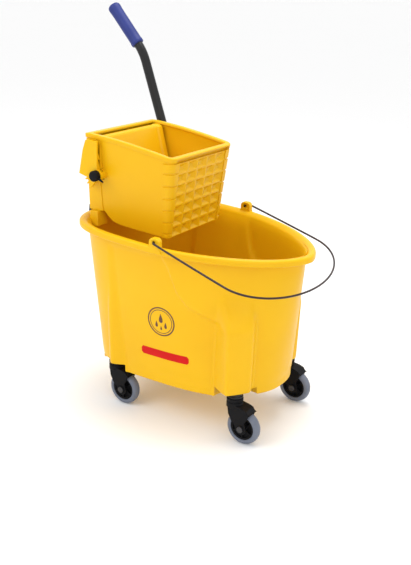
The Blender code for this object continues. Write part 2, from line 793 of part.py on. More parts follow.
def make_shafts():
    shaft_profile = [(0, -145), (SHAFT_R - 1, -145), (SHAFT_R, -144), (SHAFT_R, 165), (SHAFT_R - 1, 166),
                     (0, 166)]
    shaft = turned("drive_shaft", shaft_profile, zinc_steel(), (SHAFT_X, 0, SHAFT_Z), "Y", 20)
    end = COVER_OUT_Y - 4.5
    hinge_profile = [(0, -end), (PLATE_SHAFT_R - 1, -end), (PLATE_SHAFT_R, -end + 1),
                     (PLATE_SHAFT_R, end - 1), (PLATE_SHAFT_R - 1, end), (0, end)]
    hinge = turned("plate_shaft", hinge_profile, zinc_steel(), (HINGE_X, 0, HINGE_Z), "Y", 16)
    return shaft, hinge


def make_bush(name, side):
    outer_face = side_y(SHAFT_Z) - RIM_PROUD
    inner_face = outer_face - HOUSING_WALL - 2.6
    bore, outer, flange = SHAFT_R + GAP, 12.5, 16.0
    profile = [(bore, inner_face - 2.4), (flange, inner_face - 2.4), (flange, inner_face),
               (outer, inner_face), (outer, outer_face - 1), (bore, outer_face - 1)]
    profile = [(radius, side * along) for radius, along in profile]
    return turned("shaft_bush_" + name, profile, black_plastic(), (SHAFT_X, 0, SHAFT_Z), "Y", 20)


def make_end_cap():
    profile = [(0, -148.5), (9.5, -148.5), (12.0, -146.5), (12.0, -COVER_OUT_Y - GAP),
               (SHAFT_R + GAP, -COVER_OUT_Y - GAP), (SHAFT_R + GAP, -145 - GAP), (0, -145 - GAP)]
    return turned("shaft_end_cap", profile, black_plastic(), (SHAFT_X, 0, SHAFT_Z), "Y", 24)


def make_spring(name, side):
    """A torsion spring round the shaft with one leg on the rear cover."""
    turns, radius, wire, pitch = 5, 11.5, 1.1, 2.9
    steps = 8
    start = 96.0
    path = [(SHAFT_X - radius, side * start, SHAFT_Z + 16)]
    for step in range(turns * steps + 1):
        angle = 2 * math.pi * step / steps
        path.append((SHAFT_X - radius * math.cos(angle), side * (start - pitch * step / steps),
                     SHAFT_Z - radius * math.sin(angle)))
    path.append((SHAFT_X - radius, side * (start - pitch * turns), SHAFT_Z + 20))
    return sweep("return_spring_" + name, path, wire, zinc_steel(), 5)


# ---------------------------------------------------------------- pressure plate

def plate_path():
    """Centre line of the plate's front face in X and Z, with the face's normal."""
    top_z = 613.0
    slope = math.atan(PLATE_LEAN)
    down = (math.sin(slope), -math.cos(slope))
    out = (math.cos(slope), math.sin(slope))
    points = [((-218.5, top_z), (0.0, 1.0)), ((-209.0, top_z), (0.0, 1.0))]
    points.append(((-204.6, top_z - 1.8), (math.sin(math.radians(35)), math.cos(math.radians(35)))))
    first = (-202.5, top_z - 5.0)
    length = (first[1] - PLATE_BOTTOM_Z) / math.cos(slope)
    for share in (0.0, 0.35, 0.7, 1.0):
        spot = (first[0] + down[0] * length * share, first[1] + down[1] * length * share)
        points.append((spot, out))
    return points


def make_plate():
    rings = []
    for (x, z), (nx, nz) in plate_path():
        half = side_y(z) - RIM_BAND - 1.5
        ring = []
        for y, proud in ((-half, 4.0), (-half + 14, 4.0), (-half + 18, 0.0),
                         (half - 18, 0.0), (half - 14, 4.0), (half, 4.0)):
            lift = proud if nx > 0.9 else proud * 0.3
            ring.append((x + nx * lift, y, z + nz * lift))
        for y in (half, -half):
            ring.append((x - nx * PLATE_THICK, y, z - nz * PLATE_THICK))
        rings.append(ring)
    plate = loft("pressure_plate", rings, yellow_plastic(), smooth=False)
    for number, middle in enumerate((-66.0, -22.0, 22.0, 66.0)):
        outline = arc((HINGE_X, HINGE_Z), 8.6, 150, 300, 7)
        outline += [(-201.0, 578.0), (-194.0, 582.0), (-203.0, 606.0), (-216.0, 611.0)]
        lug = prism("plate_lug_%d" % number, outline, middle - 5, middle + 5, yellow_plastic())
        cut(plate, lug, 'UNION')
    bore = round_cutter("plate_bore", (HINGE_X, 0, HINGE_Z), PLATE_SHAFT_R + GAP, -90, 90, "Y", 16)
    cut(plate, bore)
    return plate


# ---------------------------------------------------------------- handle

def lean_way(angle):
    return Vector((-math.sin(angle), 0.0, math.cos(angle)))


def shaft_point():
    return Vector((SHAFT_X, HANDLE_Y, SHAFT_Z))


def bend_point():
    return Vector((BEND_POINT[0], HANDLE_Y, BEND_POINT[1]))


def make_socket():
    """The boss on the shaft's end with the sleeve that holds the tube."""
    way = lean_way(HANDLE_LEAN)
    low = COVER_OUT_Y + 1.2
    profile = [(SHAFT_R + GAP, low), (17.0, low), (17.0, 163.0), (SHAFT_R + GAP, 163.0)]
    boss = turned("handle_socket", profile, black_steel(), (SHAFT_X, 0, SHAFT_Z), "Y", 20)
    start = shaft_point() + way * 13.5
    sleeve = sweep("socket_sleeve", [start, start + way * 62], TUBE_R + 2.4, black_steel(), 16)
    cut(boss, sleeve, 'UNION')
    floor = shaft_point() + way * 21
    bore = sweep("socket_bore", [floor, floor + way * 80], TUBE_R + GAP, black_steel(), 16)
    cut(boss, bore)
    bolt_at = shaft_point() + way * BOLT_UP
    hole = round_cutter("socket_bolt_hole", (bolt_at.x, 0, bolt_at.z), 3.3, 130, 175, "Y", 12)
    cut(boss, hole)
    return boss


def tube_path():
    way, top_way = lean_way(HANDLE_LEAN), lean_way(GRIP_LEAN)
    bend = bend_point()
    reach = 24.0
    start = shaft_point() + way * (21 + GAP)
    path = [start, start.lerp(bend, 0.5)]
    before, after = bend - way * reach, bend + top_way * reach
    for share in np.linspace(0, 1, 7):
        path.append(before * (1 - share) ** 2 + bend * 2 * share * (1 - share) + after * share ** 2)
    top = Vector((GRIP_TOP[0], HANDLE_Y, GRIP_TOP[1]))
    path.append(top - top_way * 8)
    return path


def make_tube():
    tube = sweep("handle_tube", tube_path(), TUBE_R, black_steel(), 14)
    bolt_at = shaft_point() + lean_way(HANDLE_LEAN) * BOLT_UP
    hole = round_cutter("tube_bolt_hole", (bolt_at.x, 0, bolt_at.z), 3.3, 130, 175, "Y", 12)
    cut(tube, hole)
    return tube


def make_grip():
    top_way = lean_way(GRIP_LEAN)
    top = Vector((GRIP_TOP[0], HANDLE_Y, GRIP_TOP[1]))
    length = 118.0
    stations = ((-length, 13.0), (-length + 2, GRIP_R), (-length + 8, GRIP_R), (-60, GRIP_R - 0.6),
                (-12, GRIP_R), (-5, GRIP_R - 2), (-1.5, GRIP_R - 6.5), (0, GRIP_R - 11))
    path = [top + top_way * along for along, _ in stations]
    grip = sweep("handle_grip", path, [radius for _, radius in stations], blue_grip(), 16)
    bore_from = top - top_way * (length + 10)
    bore = sweep("grip_bore", [bore_from, top - top_way * (8 - GAP)], TUBE_R + GAP, blue_grip(), 16)
    cut(grip, bore)
    return grip


def make_socket_bolt():
    bolt_at = shaft_point() + lean_way(HANDLE_LEAN) * BOLT_UP
    inner = HANDLE_Y - TUBE_R - 2.4 - GAP
    outer = HANDLE_Y + TUBE_R + 2.4 + GAP
    profile = [(0, inner - 0.9), (5.0, inner - 0.9), (5.5, inner), (3.0, inner), (3.0, outer),
               (5.5, outer), (5.5, outer + 4.5), (0, outer + 4.5)]
    return turned("socket_bolt", profile, zinc_steel(), (bolt_at.x, 0, bolt_at.z), "Y", 12)


# ---------------------------------------------------------------- assembly

def make_wringer(root):
    lift = pivot("wringer_lift", (SHAFT_X, 0, FEET_Z), root)
    swing = pivot("plate_swing", (HINGE_X, 0, HINGE_Z), lift)
    turn = pivot("handle_turn", (SHAFT_X, 0, SHAFT_Z), lift)

    attach(make_housing(), lift)
    attach(make_rear_cover(), lift)
    shaft, hinge = make_shafts()
    attach(hinge, swing)
    attach(make_plate(), swing)
    attach(shaft, turn)
    for name, side in SIDES.items():
        attach(make_hook(name, side), lift)
        attach(make_gear_cover(name, side), lift)
        attach(make_bush(name, side), lift)
        attach(make_spring(name, side), lift)
        plate_gear = make_gear("plate_gear_" + name, PLATE_TEETH,
                               GEAR_LINE + math.pi + math.pi / PLATE_TEETH, -3, 0, 8.8,
                               PLATE_SHAFT_R + GAP, (HINGE_X, HINGE_Z), side)
        attach(plate_gear, swing)
        drive_gear = make_gear("drive_gear_" + name, DRIVE_TEETH, GEAR_LINE, 0, 8, 10.8,
                               SHAFT_R + GAP, (SHAFT_X, SHAFT_Z), side)
        attach(drive_gear, turn)
    for piece in (make_end_cap(), make_socket(), make_tube(), make_grip(), make_socket_bolt()):
        attach(piece, turn)


def main():
    clear_scene()
    root = pivot("bucket_centre", (0, 0, 0))
    attach(make_bucket(), root)
    for corner, (x, y) in CORNERS.items():
        make_caster(corner, x, y, root)
    bail_swing = pivot("bail_swing", (BAIL_X, 0, BAIL_Z), root)
    attach(sweep("bail_handle", bail_path(), BAIL_WIRE_R, brown_wire(), 6), bail_swing)
    make_wringer(root)
    root.location.x = SHIFT_X * MM


if __name__ == "__main__":
    main()
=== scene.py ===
"""Looks of the mop bucket with wringer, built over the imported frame.

Shapes are worked out in millimetres about the bucket's centre. They are turned to metres
about the whole object's centre when a mesh is made.
"""

import math
from collections import Counter

import bmesh
import bpy
import numpy as np
from mathutils import Matrix, Vector


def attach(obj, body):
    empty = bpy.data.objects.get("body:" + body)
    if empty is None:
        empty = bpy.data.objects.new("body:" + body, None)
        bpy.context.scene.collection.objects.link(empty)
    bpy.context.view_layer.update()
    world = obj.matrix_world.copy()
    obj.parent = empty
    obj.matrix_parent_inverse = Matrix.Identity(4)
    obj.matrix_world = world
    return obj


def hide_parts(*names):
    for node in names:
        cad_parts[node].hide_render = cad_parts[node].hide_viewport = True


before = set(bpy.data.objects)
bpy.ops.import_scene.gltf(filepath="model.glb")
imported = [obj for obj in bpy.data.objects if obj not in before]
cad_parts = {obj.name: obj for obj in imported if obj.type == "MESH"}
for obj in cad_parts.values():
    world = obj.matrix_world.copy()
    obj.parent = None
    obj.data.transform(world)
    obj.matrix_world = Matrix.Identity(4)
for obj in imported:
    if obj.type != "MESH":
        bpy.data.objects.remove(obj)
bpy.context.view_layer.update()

MM = 0.001
SHIFT_X = 51.15                # bucket centre, measured from the middle of the whole object

# Bucket, the same numbers as the frame's
RIM_REAR_X, RIM_FRONT_X, RIM_WIDTH = -260.5, 256.5, 377.0
RIM_Z, RIM_SLOPE = 418.7, -0.06
WIDEST_X = -24.0
WALL, LIP_OUT, LIP_DROP, WALL_INSET = 4.0, 6.5, 15.0, 12.0
FOOT_Z, KEEL_Z = 100.0, 85.0
REAR_FOOT_X, FRONT_FOOT_X, FOOT_HALF_WIDTH = -224.0, 212.0, 146.0
FRONT_KEEL_LIFT, FRONT_KEEL_INSET = 10.0, 34.0
PANEL_RECESS = 8.0
POST_TOP_Z, POST_FULL_Z = 330.0, 250.0
POST_OUT_LOW, POST_OUT_HIGH = 16.5, 21.5
PLATFORM_REAR_Z, PLATFORM_FRONT_Z = 104.0, 112.0
RING_POINTS = 480

STEM_REAR_X, STEM_FRONT_X, STEM_Y = -156.0, 160.0, 120.0
STEM_R, STEM_TOP_Z = 5.5, 132.0
NOTCH_REAR_R, NOTCH_FRONT_R = 40.0, 50.0
WHEEL_R, TYRE_WIDTH, HUB_R, TRAIL, AXLE_R = 38.0, 20.0, 27.0, 24.0, 4.0
COLLAR_R, RACE_Z, CROWN_Z = 17.5, 103.0, 82.0
FORK_GAP, FORK_PLATE = 13.0, 3.0

BAIL_X, BAIL_Z, BAIL_WIRE_R = -3.0, 430.0, 2.25
BAIL_DROOP = math.radians(17.5)
BAIL_ARM, BAIL_NOSE, BAIL_END_Y, BAIL_WIDE_Y = 187.0, 110.0, 200.0, 205.0
LUG_TOP_Z, LUG_HALF = 438.8, 12.5

# Wringer
TOP_REAR, TOP_FRONT = (-239.0, 620.0), (-7.5, 589.0)
REAR_LEAN, FRONT_LEAN = -0.03, 0.115
SIDE_FOOT_Y, SIDE_FOOT_Z, SIDE_SLOPE = 105.5, 408.0, 0.0955
CORNER_TOP_R, CORNER_FOOT_R = 18.0, 8.0
PROUD, HOUSING_WALL, FEET_Z = 2.5, 3.5, 446.0
GROOVE_TOP, GROOVE_FOOT = 4.0, 14.0     # the shadowed groove under the front rim
SLAB_DEPTH = 6.0                        # thickness of the waffled front
WAFFLE_ROWS, WAFFLE_COLUMNS = 7, 5
SHAFT_X, SHAFT_Z, SHAFT_R = -199.4, 532.2, 8.0
COVER_OUT_Y = 136.5

HANDLE_Y, TUBE_R, GRIP_R = 151.5, 11.0, 15.5
HANDLE_LEAN, GRIP_LEAN = math.radians(19.4), math.radians(41.0)
BEND_POINT, GRIP_TOP = (-285.2, 775.8), (-377.9, 882.5)
GRIP_LENGTH = 118.0

CORNERS = {
    "front_left": (STEM_FRONT_X, STEM_Y),
    "front_right": (STEM_FRONT_X, -STEM_Y),
    "rear_left": (STEM_REAR_X, STEM_Y),
    "rear_right": (STEM_REAR_X, -STEM_Y),
}
SIDES = {"left": 1.0, "right": -1.0}

# Prints on the side panels
PRINT_X, PRINT_Z = -12.0, 240.0
BAR_X, BAR_Z, BAR_HALF, BAR_CORNER = (-68.0, 53.0), 160.0, 9.5, 5.0
PRINT_LIFT, PRINT_ROOT = 0.22, 0.6      # how far a print stands out and how deep it reaches in

# Looks
GRAIN_SCALE, GRAIN_DEPTH = 900.0, 0.0004
SOFT_ANGLE = 32.0                       # edges sharper than this are rounded
LEAST_SOFTENING = 0.4


# ---------------------------------------------------------------- materials

def node(tree, kind, **values):
    made = tree.nodes.new(kind)
    for key, value in values.items():
        if key in made.inputs:
            made.inputs[key].default_value = value
        else:
            setattr(made, key, value)
    return made


def surface(name, light, dark, roughness, spread=0.08, metallic=0.0, blotch=7.0, bump=0.12,
            subsurface=0.0, specular=0.5):
    """Two close colours in soft clouds, a roughness that drifts with them, and a fine grain."""
    made = bpy.data.materials.new(name)
    made.use_nodes = True
    tree = made.node_tree
    shader = tree.nodes["Principled BSDF"]
    link = tree.links.new
    coord = node(tree, "ShaderNodeTexCoord")
    cloud = node(tree, "ShaderNodeTexNoise", Scale=blotch, Detail=4.0, Roughness=0.55)
    link(coord.outputs["Object"], cloud.inputs["Vector"])
    ramp = node(tree, "ShaderNodeValToRGB")
    ramp.color_ramp.elements[0].position = 0.25
    ramp.color_ramp.elements[1].position = 0.75
    ramp.color_ramp.elements[0].color = (*dark, 1.0)
    ramp.color_ramp.elements[1].color = (*light, 1.0)
    link(cloud.outputs["Fac"], ramp.inputs["Fac"])
    link(ramp.outputs["Color"], shader.inputs["Base Color"])

    scuff = node(tree, "ShaderNodeTexNoise", Scale=blotch * 9, Detail=6.0, Roughness=0.65)
    link(coord.outputs["Object"], scuff.inputs["Vector"])
    polish = node(tree, "ShaderNodeMapRange")
    polish.inputs["From Min"].default_value = 0.3
    polish.inputs["From Max"].default_value = 0.7
    polish.inputs["To Min"].default_value = roughness - spread
    polish.inputs["To Max"].default_value = roughness + spread
    link(scuff.outputs["Fac"], polish.inputs["Value"])
    link(polish.outputs["Result"], shader.inputs["Roughness"])

    fine = node(tree, "ShaderNodeTexNoise", Scale=GRAIN_SCALE, Detail=2.0, Roughness=0.5)
    link(coord.outputs["Object"], fine.inputs["Vector"])
    relief = node(tree, "ShaderNodeBump", Strength=bump, Distance=GRAIN_DEPTH)
    link(fine.outputs["Fac"], relief.inputs["Height"])
    link(relief.outputs["Normal"], shader.inputs["Normal"])
    shader.inputs["Metallic"].default_value = metallic
    shader.inputs["Specular IOR Level"].default_value = specular
    if subsurface:
        shader.inputs["Subsurface Weight"].default_value = subsurface
        shader.inputs["Subsurface Radius"].default_value = (0.006, 0.003, 0.0006)
        shader.inputs["Subsurface Scale"].default_value = 1.0
    return made


YELLOW = surface("moulded_yellow", (0.79, 0.455, 0.004), (0.745, 0.415, 0.003), 0.36, 0.06,
                 bump=0.10, subsurface=0.10, specular=0.2)
NYLON = surface("black_nylon", (0.007, 0.007, 0.008), (0.004, 0.004, 0.005), 0.5, 0.08, bump=0.2,
                specular=0.1)
STEEL = surface("black_painted_steel", (0.017, 0.017, 0.018), (0.010, 0.010, 0.011), 0.33, 0.07,
                blotch=14.0, bump=0.08, specular=0.25)
TYRE = surface("grey_tyre_rubber", (0.155, 0.175, 0.225), (0.105, 0.12, 0.16), 0.58, 0.1,
               blotch=30.0, bump=0.35)
BLUE = surface("blue_grip_vinyl", (0.022, 0.036, 0.20), (0.015, 0.026, 0.15), 0.5, 0.07,
               blotch=22.0, bump=0.22, specular=0.3)
WIRE = surface("brown_bail_wire", (0.035, 0.014, 0.012), (0.018, 0.008, 0.008), 0.36, 0.08,
               metallic=0.35, blotch=40.0, bump=0.1)
ZINC = surface("zinc_plated_steel", (0.60, 0.60, 0.60), (0.47, 0.48, 0.50), 0.3, 0.1, metallic=1.0,
               blotch=60.0, bump=0.1)
AXLE = surface("dark_axle_steel", (0.09, 0.09, 0.095), (0.06, 0.06, 0.065), 0.4, 0.1, metallic=1.0,
               blotch=60.0, bump=0.1)
BROWN_INK = surface("brown_print", (0.12, 0.035, 0.014), (0.085, 0.025, 0.01), 0.5, 0.05, blotch=60.0)
RED_INK = surface("red_print", (0.60, 0.007, 0.006), (0.52, 0.006, 0.005), 0.55, 0.05, blotch=60.0,
                  specular=0.15)


# ---------------------------------------------------------------- mesh helpers

def smooth_step(value, start, end):
    share = min(max((value - start) / (end - start), 0.0), 1.0)
    return share * share * (3 - 2 * share)


def mix(start, end, share):
    return start + (end - start) * share


def make_object(name, points, faces, skin, angle=35.0, weld=0.0):
    mesh = bpy.data.meshes.new(name)
    mesh.from_pydata([((x + SHIFT_X) * MM, y * MM, z * MM) for x, y, z in points], [],
                     [tuple(face) for face in faces])
    work = bmesh.new()
    work.from_mesh(mesh)
    if weld:
        bmesh.ops.remove_doubles(work, verts=work.verts, dist=weld * MM)
    bmesh.ops.recalc_face_normals(work, faces=work.faces)
    work.to_mesh(mesh)
    work.free()
    mesh.shade_smooth()
    mesh.set_sharp_from_angle(angle=math.radians(angle))
    mesh.materials.append(skin)
    made = bpy.data.objects.new(name, mesh)
    bpy.context.collection.objects.link(made)
    return made


def band_faces(levels, count, base=0):
    """The faces that join each ring of count points to the next one."""
    faces = []
    for level in range(levels - 1):
        low, high = base + level * count, base + (level + 1) * count
        for step in range(count):
            after = (step + 1) % count
            faces.append((low + step, low + after, high + after, high + step))
    return faces


def loft(name, rings, skin, angle=35.0, caps=True):
    """A skin over rings of equal length, with a flat face over each end."""
    count = len(rings[0])
    points = [tuple(point) for ring in rings for point in ring]
    faces = band_faces(len(rings), count)
    if caps:
        last = (len(rings) - 1) * count
        faces += [tuple(range(count)), tuple(range(last, last + count))]
    return make_object(name, points, faces, skin, angle)


def prism(name, outline, low, high, skin, axis="Y", bevel=0.0, upper=None):
    """An outline across the axis carried from low to high, its edges rounded by bevel."""
    def put(pair, along):
        first, second = pair
        return {"Y": (first, along, second), "X": (along, first, second),
                "Z": (first, second, along)}[axis]

    count = len(outline)
    points = [put(pair, low) for pair in outline] + [put(pair, high) for pair in upper or outline]
    faces = [tuple(range(count)), tuple(range(2 * count - 1, count - 1, -1))]
    made = make_object(name, points, faces + band_faces(2, count), skin)
    if bevel:
        soften(made, bevel)
    return made


def soften(piece, width, weld=False):
    """Rounded edges in place of knife edges."""
    if weld:
        joined = piece.modifiers.new("weld", 'WELD')
        joined.merge_threshold = 0.00002
    tool = piece.modifiers.new("soft_edges", 'BEVEL')
    tool.width = width * MM
    tool.segments = 3
    tool.limit_method = 'ANGLE'
    tool.angle_limit = math.radians(SOFT_ANGLE)
    tool.harden_normals = True


def box(name, low, high, skin, bevel=0.0):
    outline = [(low[0], low[1]), (high[0], low[1]), (high[0], high[1]), (low[0], high[1])]
    return prism(name, outline, low[2], high[2], skin, "Z", bevel)


def turned(name, profile, skin, centre=(0.0, 0.0, 0.0), axis="Z", segments=64, angle=35.0):
    """A closed profile of (radius, height) pairs turned about an axis through centre."""
    angles = np.linspace(0, 2 * math.pi, segments, endpoint=False)
    solid = profile[0][0] < 1e-6
    rings = []
    for radius, height in profile[1:-1] if solid else profile:
        ring = []
        for turn in angles:
            across, side = radius * math.cos(turn), radius * math.sin(turn)
            local = {"Z": (across, side, height), "Y": (across, height, side),
                     "X": (height, across, side)}[axis]
            ring.append(tuple(np.add(local, centre)))
        rings.append(ring)
    if solid:
        return loft(name, rings, skin, angle)
    rings.append(rings[0])
    made = loft(name, rings, skin, angle, caps=False)
    work = bmesh.new()
    work.from_mesh(made.data)
    bmesh.ops.remove_doubles(work, verts=work.verts, dist=1e-7)
    bmesh.ops.recalc_face_normals(work, faces=work.faces)
    work.to_mesh(made.data)
    work.free()
    made.data.set_sharp_from_angle(angle=math.radians(angle))
    return made


def sweep(name, path, radius, skin, sides=32, angle=35.0):
    """A round bar along a path; radius may be one number or one for each point."""
    path = [Vector(point) for point in path]
    radii = [radius] * len(path) if isinstance(radius, (int, float)) else radius
    rings = []
    side_way = None
    for index, point in enumerate(path):
        along = (path[min(index + 1, len(path) - 1)] - path[max(index - 1, 0)]).normalized()
        if side_way is None:
            helper = Vector((0, 1, 0)) if abs(along.y) < 0.9 else Vector((0, 0, 1))
            side_way = along.cross(helper).normalized()
        side_way = (side_way - along * side_way.dot(along)).normalized()
        other = along.cross(side_way)
        rings.append([tuple(point + (side_way * math.cos(t) + other * math.sin(t)) * radii[index])
                      for t in np.linspace(0, 2 * math.pi, sides, endpoint=False)])
    return loft(name, rings, skin, angle)


def arc(centre, radius, start, end, count):
    return [(centre[0] + radius * math.cos(a), centre[1] + radius * math.sin(a))
            for a in np.radians(np.linspace(start, end, count))]


def smooth_path(points, per_span=8):
    """A Catmull-Rom curve through the points."""
    points = [np.array(point, float) for point in points]
    ends = [2 * points[0] - points[1]] + points + [2 * points[-1] - points[-2]]
    made = []
    for a, b, c, d in zip(ends, ends[1:], ends[2:], ends[3:]):
        for t in np.linspace(0, 1, per_span, endpoint=False):
            made.append(0.5 * (2 * b + (c - a) * t + (2 * a - 5 * b + 4 * c - d) * t ** 2
                               + (3 * b - a - 3 * c + d) * t ** 3))
    return made + [points[-1]]


def bake(piece):
    """Apply a piece's modifiers to its mesh."""
    graph = bpy.context.evaluated_depsgraph_get()
    mesh = bpy.data.meshes.new_from_object(piece.evaluated_get(graph))
    piece.modifiers.clear()
    piece.data = mesh
    return piece


def carve(piece, cutters):
    """Cut the cutters out of the piece, and remove them."""
    for cutter in cutters:
        tool = piece.modifiers.new(cutter.name, 'BOOLEAN')
        tool.operation = 'DIFFERENCE'
        tool.solver = 'EXACT'
        tool.object = cutter
    bake(piece)
    for cutter in cutters:
        bpy.data.objects.remove(cutter, do_unlink=True)
    return piece


def join(name, pieces):
    """One object out of several."""
    for piece in pieces:
        bake(piece)
    work = bmesh.new()
    for piece in pieces:
        work.from_mesh(piece.data)
    mesh = bpy.data.meshes.new(name)
    work.to_mesh(mesh)
    work.free()
    for skin in pieces[0].data.materials:
        mesh.materials.append(skin)
    made = bpy.data.objects.new(name, mesh)
    bpy.context.collection.objects.link(made)
    for piece in pieces:
        bpy.data.objects.remove(piece, do_unlink=True)
    return made


def place(piece, body, slot=None, *nodes):
    """Ride on a body and stand for CAD nodes; the slot argument is not used."""
    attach(piece, body)
    if nodes:
        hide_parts(*nodes)
    return piece


# ---------------------------------------------------------------- bucket

def oval(turn, rear, front, half_width, front_power):
    across, along = math.sin(turn), math.cos(turn)
    power = front_power if along > 0 else 0.54
    reach = front - WIDEST_X if along > 0 else WIDEST_X - rear
    x = WIDEST_X + math.copysign(abs(along) ** power, along) * reach
    y = math.copysign(abs(across) ** power, across) * half_width
    return x, y


def rim_height(x):
    return RIM_Z + RIM_SLOPE * x


def rim_point(turn, out, drop):
    x, y = oval(turn, RIM_REAR_X - out, RIM_FRONT_X + out, RIM_WIDTH / 2 + out, 1.17)
    return x, y, rim_height(x) - drop


def post_push(x, y, z):
    """Radius gained over a caster, where the wall bulges into an upright post."""
    radius = math.hypot(x, y)
    stem_x = STEM_FRONT_X if x > 0 else STEM_REAR_X
    off = abs(math.atan2(abs(y), x) - math.atan2(STEM_Y, stem_x))
    share = 1 - smooth_step(math.degrees(off), 6.5, 13.0)
    share *= 1 - smooth_step(z, POST_FULL_Z, POST_TOP_Z)
    rise = min(max((z - FOOT_Z) / (POST_FULL_Z - FOOT_Z), 0.0), 1.0)
    outer = math.hypot(stem_x, STEM_Y) + mix(POST_OUT_LOW, POST_OUT_HIGH, rise)
    return max(outer - radius, 0.0) * share


def panel_depth(x, z, inside):
    """How far the side panel lies back; its upper edge sweeps down towards the front post."""
    side = smooth_step(x, -146, -124) * (1 - smooth_step(x, 116, 127))
    ledge = float(np.interp(x, [0, 14, 32, 54, 89, 128], [396, 372, 318, 289, 272, 256]))
    deep = mix(PANEL_RECESS, 3.5, smooth_step(z, 260, 390))
    if inside:
        return deep * side * (1 - smooth_step(z, ledge, ledge + 30))
    return deep * side * (1 - smooth_step(z, ledge - 8, ledge + 8))


def wall_point(turn, z, inset=0.0, inside=False):
    top = RIM_Z - LIP_DROP
    share = (z - FOOT_Z) / (top - FOOT_Z)
    rear = mix(REAR_FOOT_X, RIM_REAR_X + WALL_INSET, share)
    front = mix(FRONT_FOOT_X, RIM_FRONT_X - WALL_INSET, share)
    half_width = mix(FOOT_HALF_WIDTH, RIM_WIDTH / 2 - WALL_INSET, share)
    x, y = oval(turn, rear, front, half_width, mix(0.85, 1.17, max(share, 0.0)))
    if abs(y) > 60:
        y -= math.copysign(panel_depth(x, z, inside), y)
    push = post_push(x, y, z) - inset
    radius = math.hypot(x, y)
    return x * (1 + push / radius), y * (1 + push / radius)


def keel_point(turn, inset=0.0):
    """The hull's foot, notched round the four casters."""
    x, y = wall_point(turn, FOOT_Z, inset)
    radius = math.hypot(x, y)
    stem_x = STEM_FRONT_X if x > 0 else STEM_REAR_X
    reach = math.hypot(stem_x, STEM_Y)
    off = math.atan2(abs(y), x) - math.atan2(STEM_Y, stem_x)
    notch = (NOTCH_FRONT_R if x > 0 else NOTCH_REAR_R) + inset
    if abs(reach * math.sin(off)) < notch:
        near = reach * math.cos(off) - math.sqrt(notch ** 2 - (reach * math.sin(off)) ** 2)
        now = min(radius, near)
        return x * now / radius, y * now / radius
    return x, y


def notch_share(turn):
    """None where the wall runs straight down to the foot, all over a caster."""
    gap = math.hypot(*wall_point(turn, FOOT_Z)) - math.hypot(*keel_point(turn))
    return smooth_step(gap, 0.0, 3.0)


def platform_z(x):
    return mix(PLATFORM_REAR_Z, PLATFORM_FRONT_Z, smooth_step(x, -60, 60))


def front_share(x):
    return smooth_step(x, 110, 170)


def foot_ring(turns, inset, z):
    ring = []
    for turn in turns:
        share = front_share(keel_point(turn, inset)[0])
        ring.append((*keel_point(turn, inset + FRONT_KEEL_INSET * share), z))
    return ring


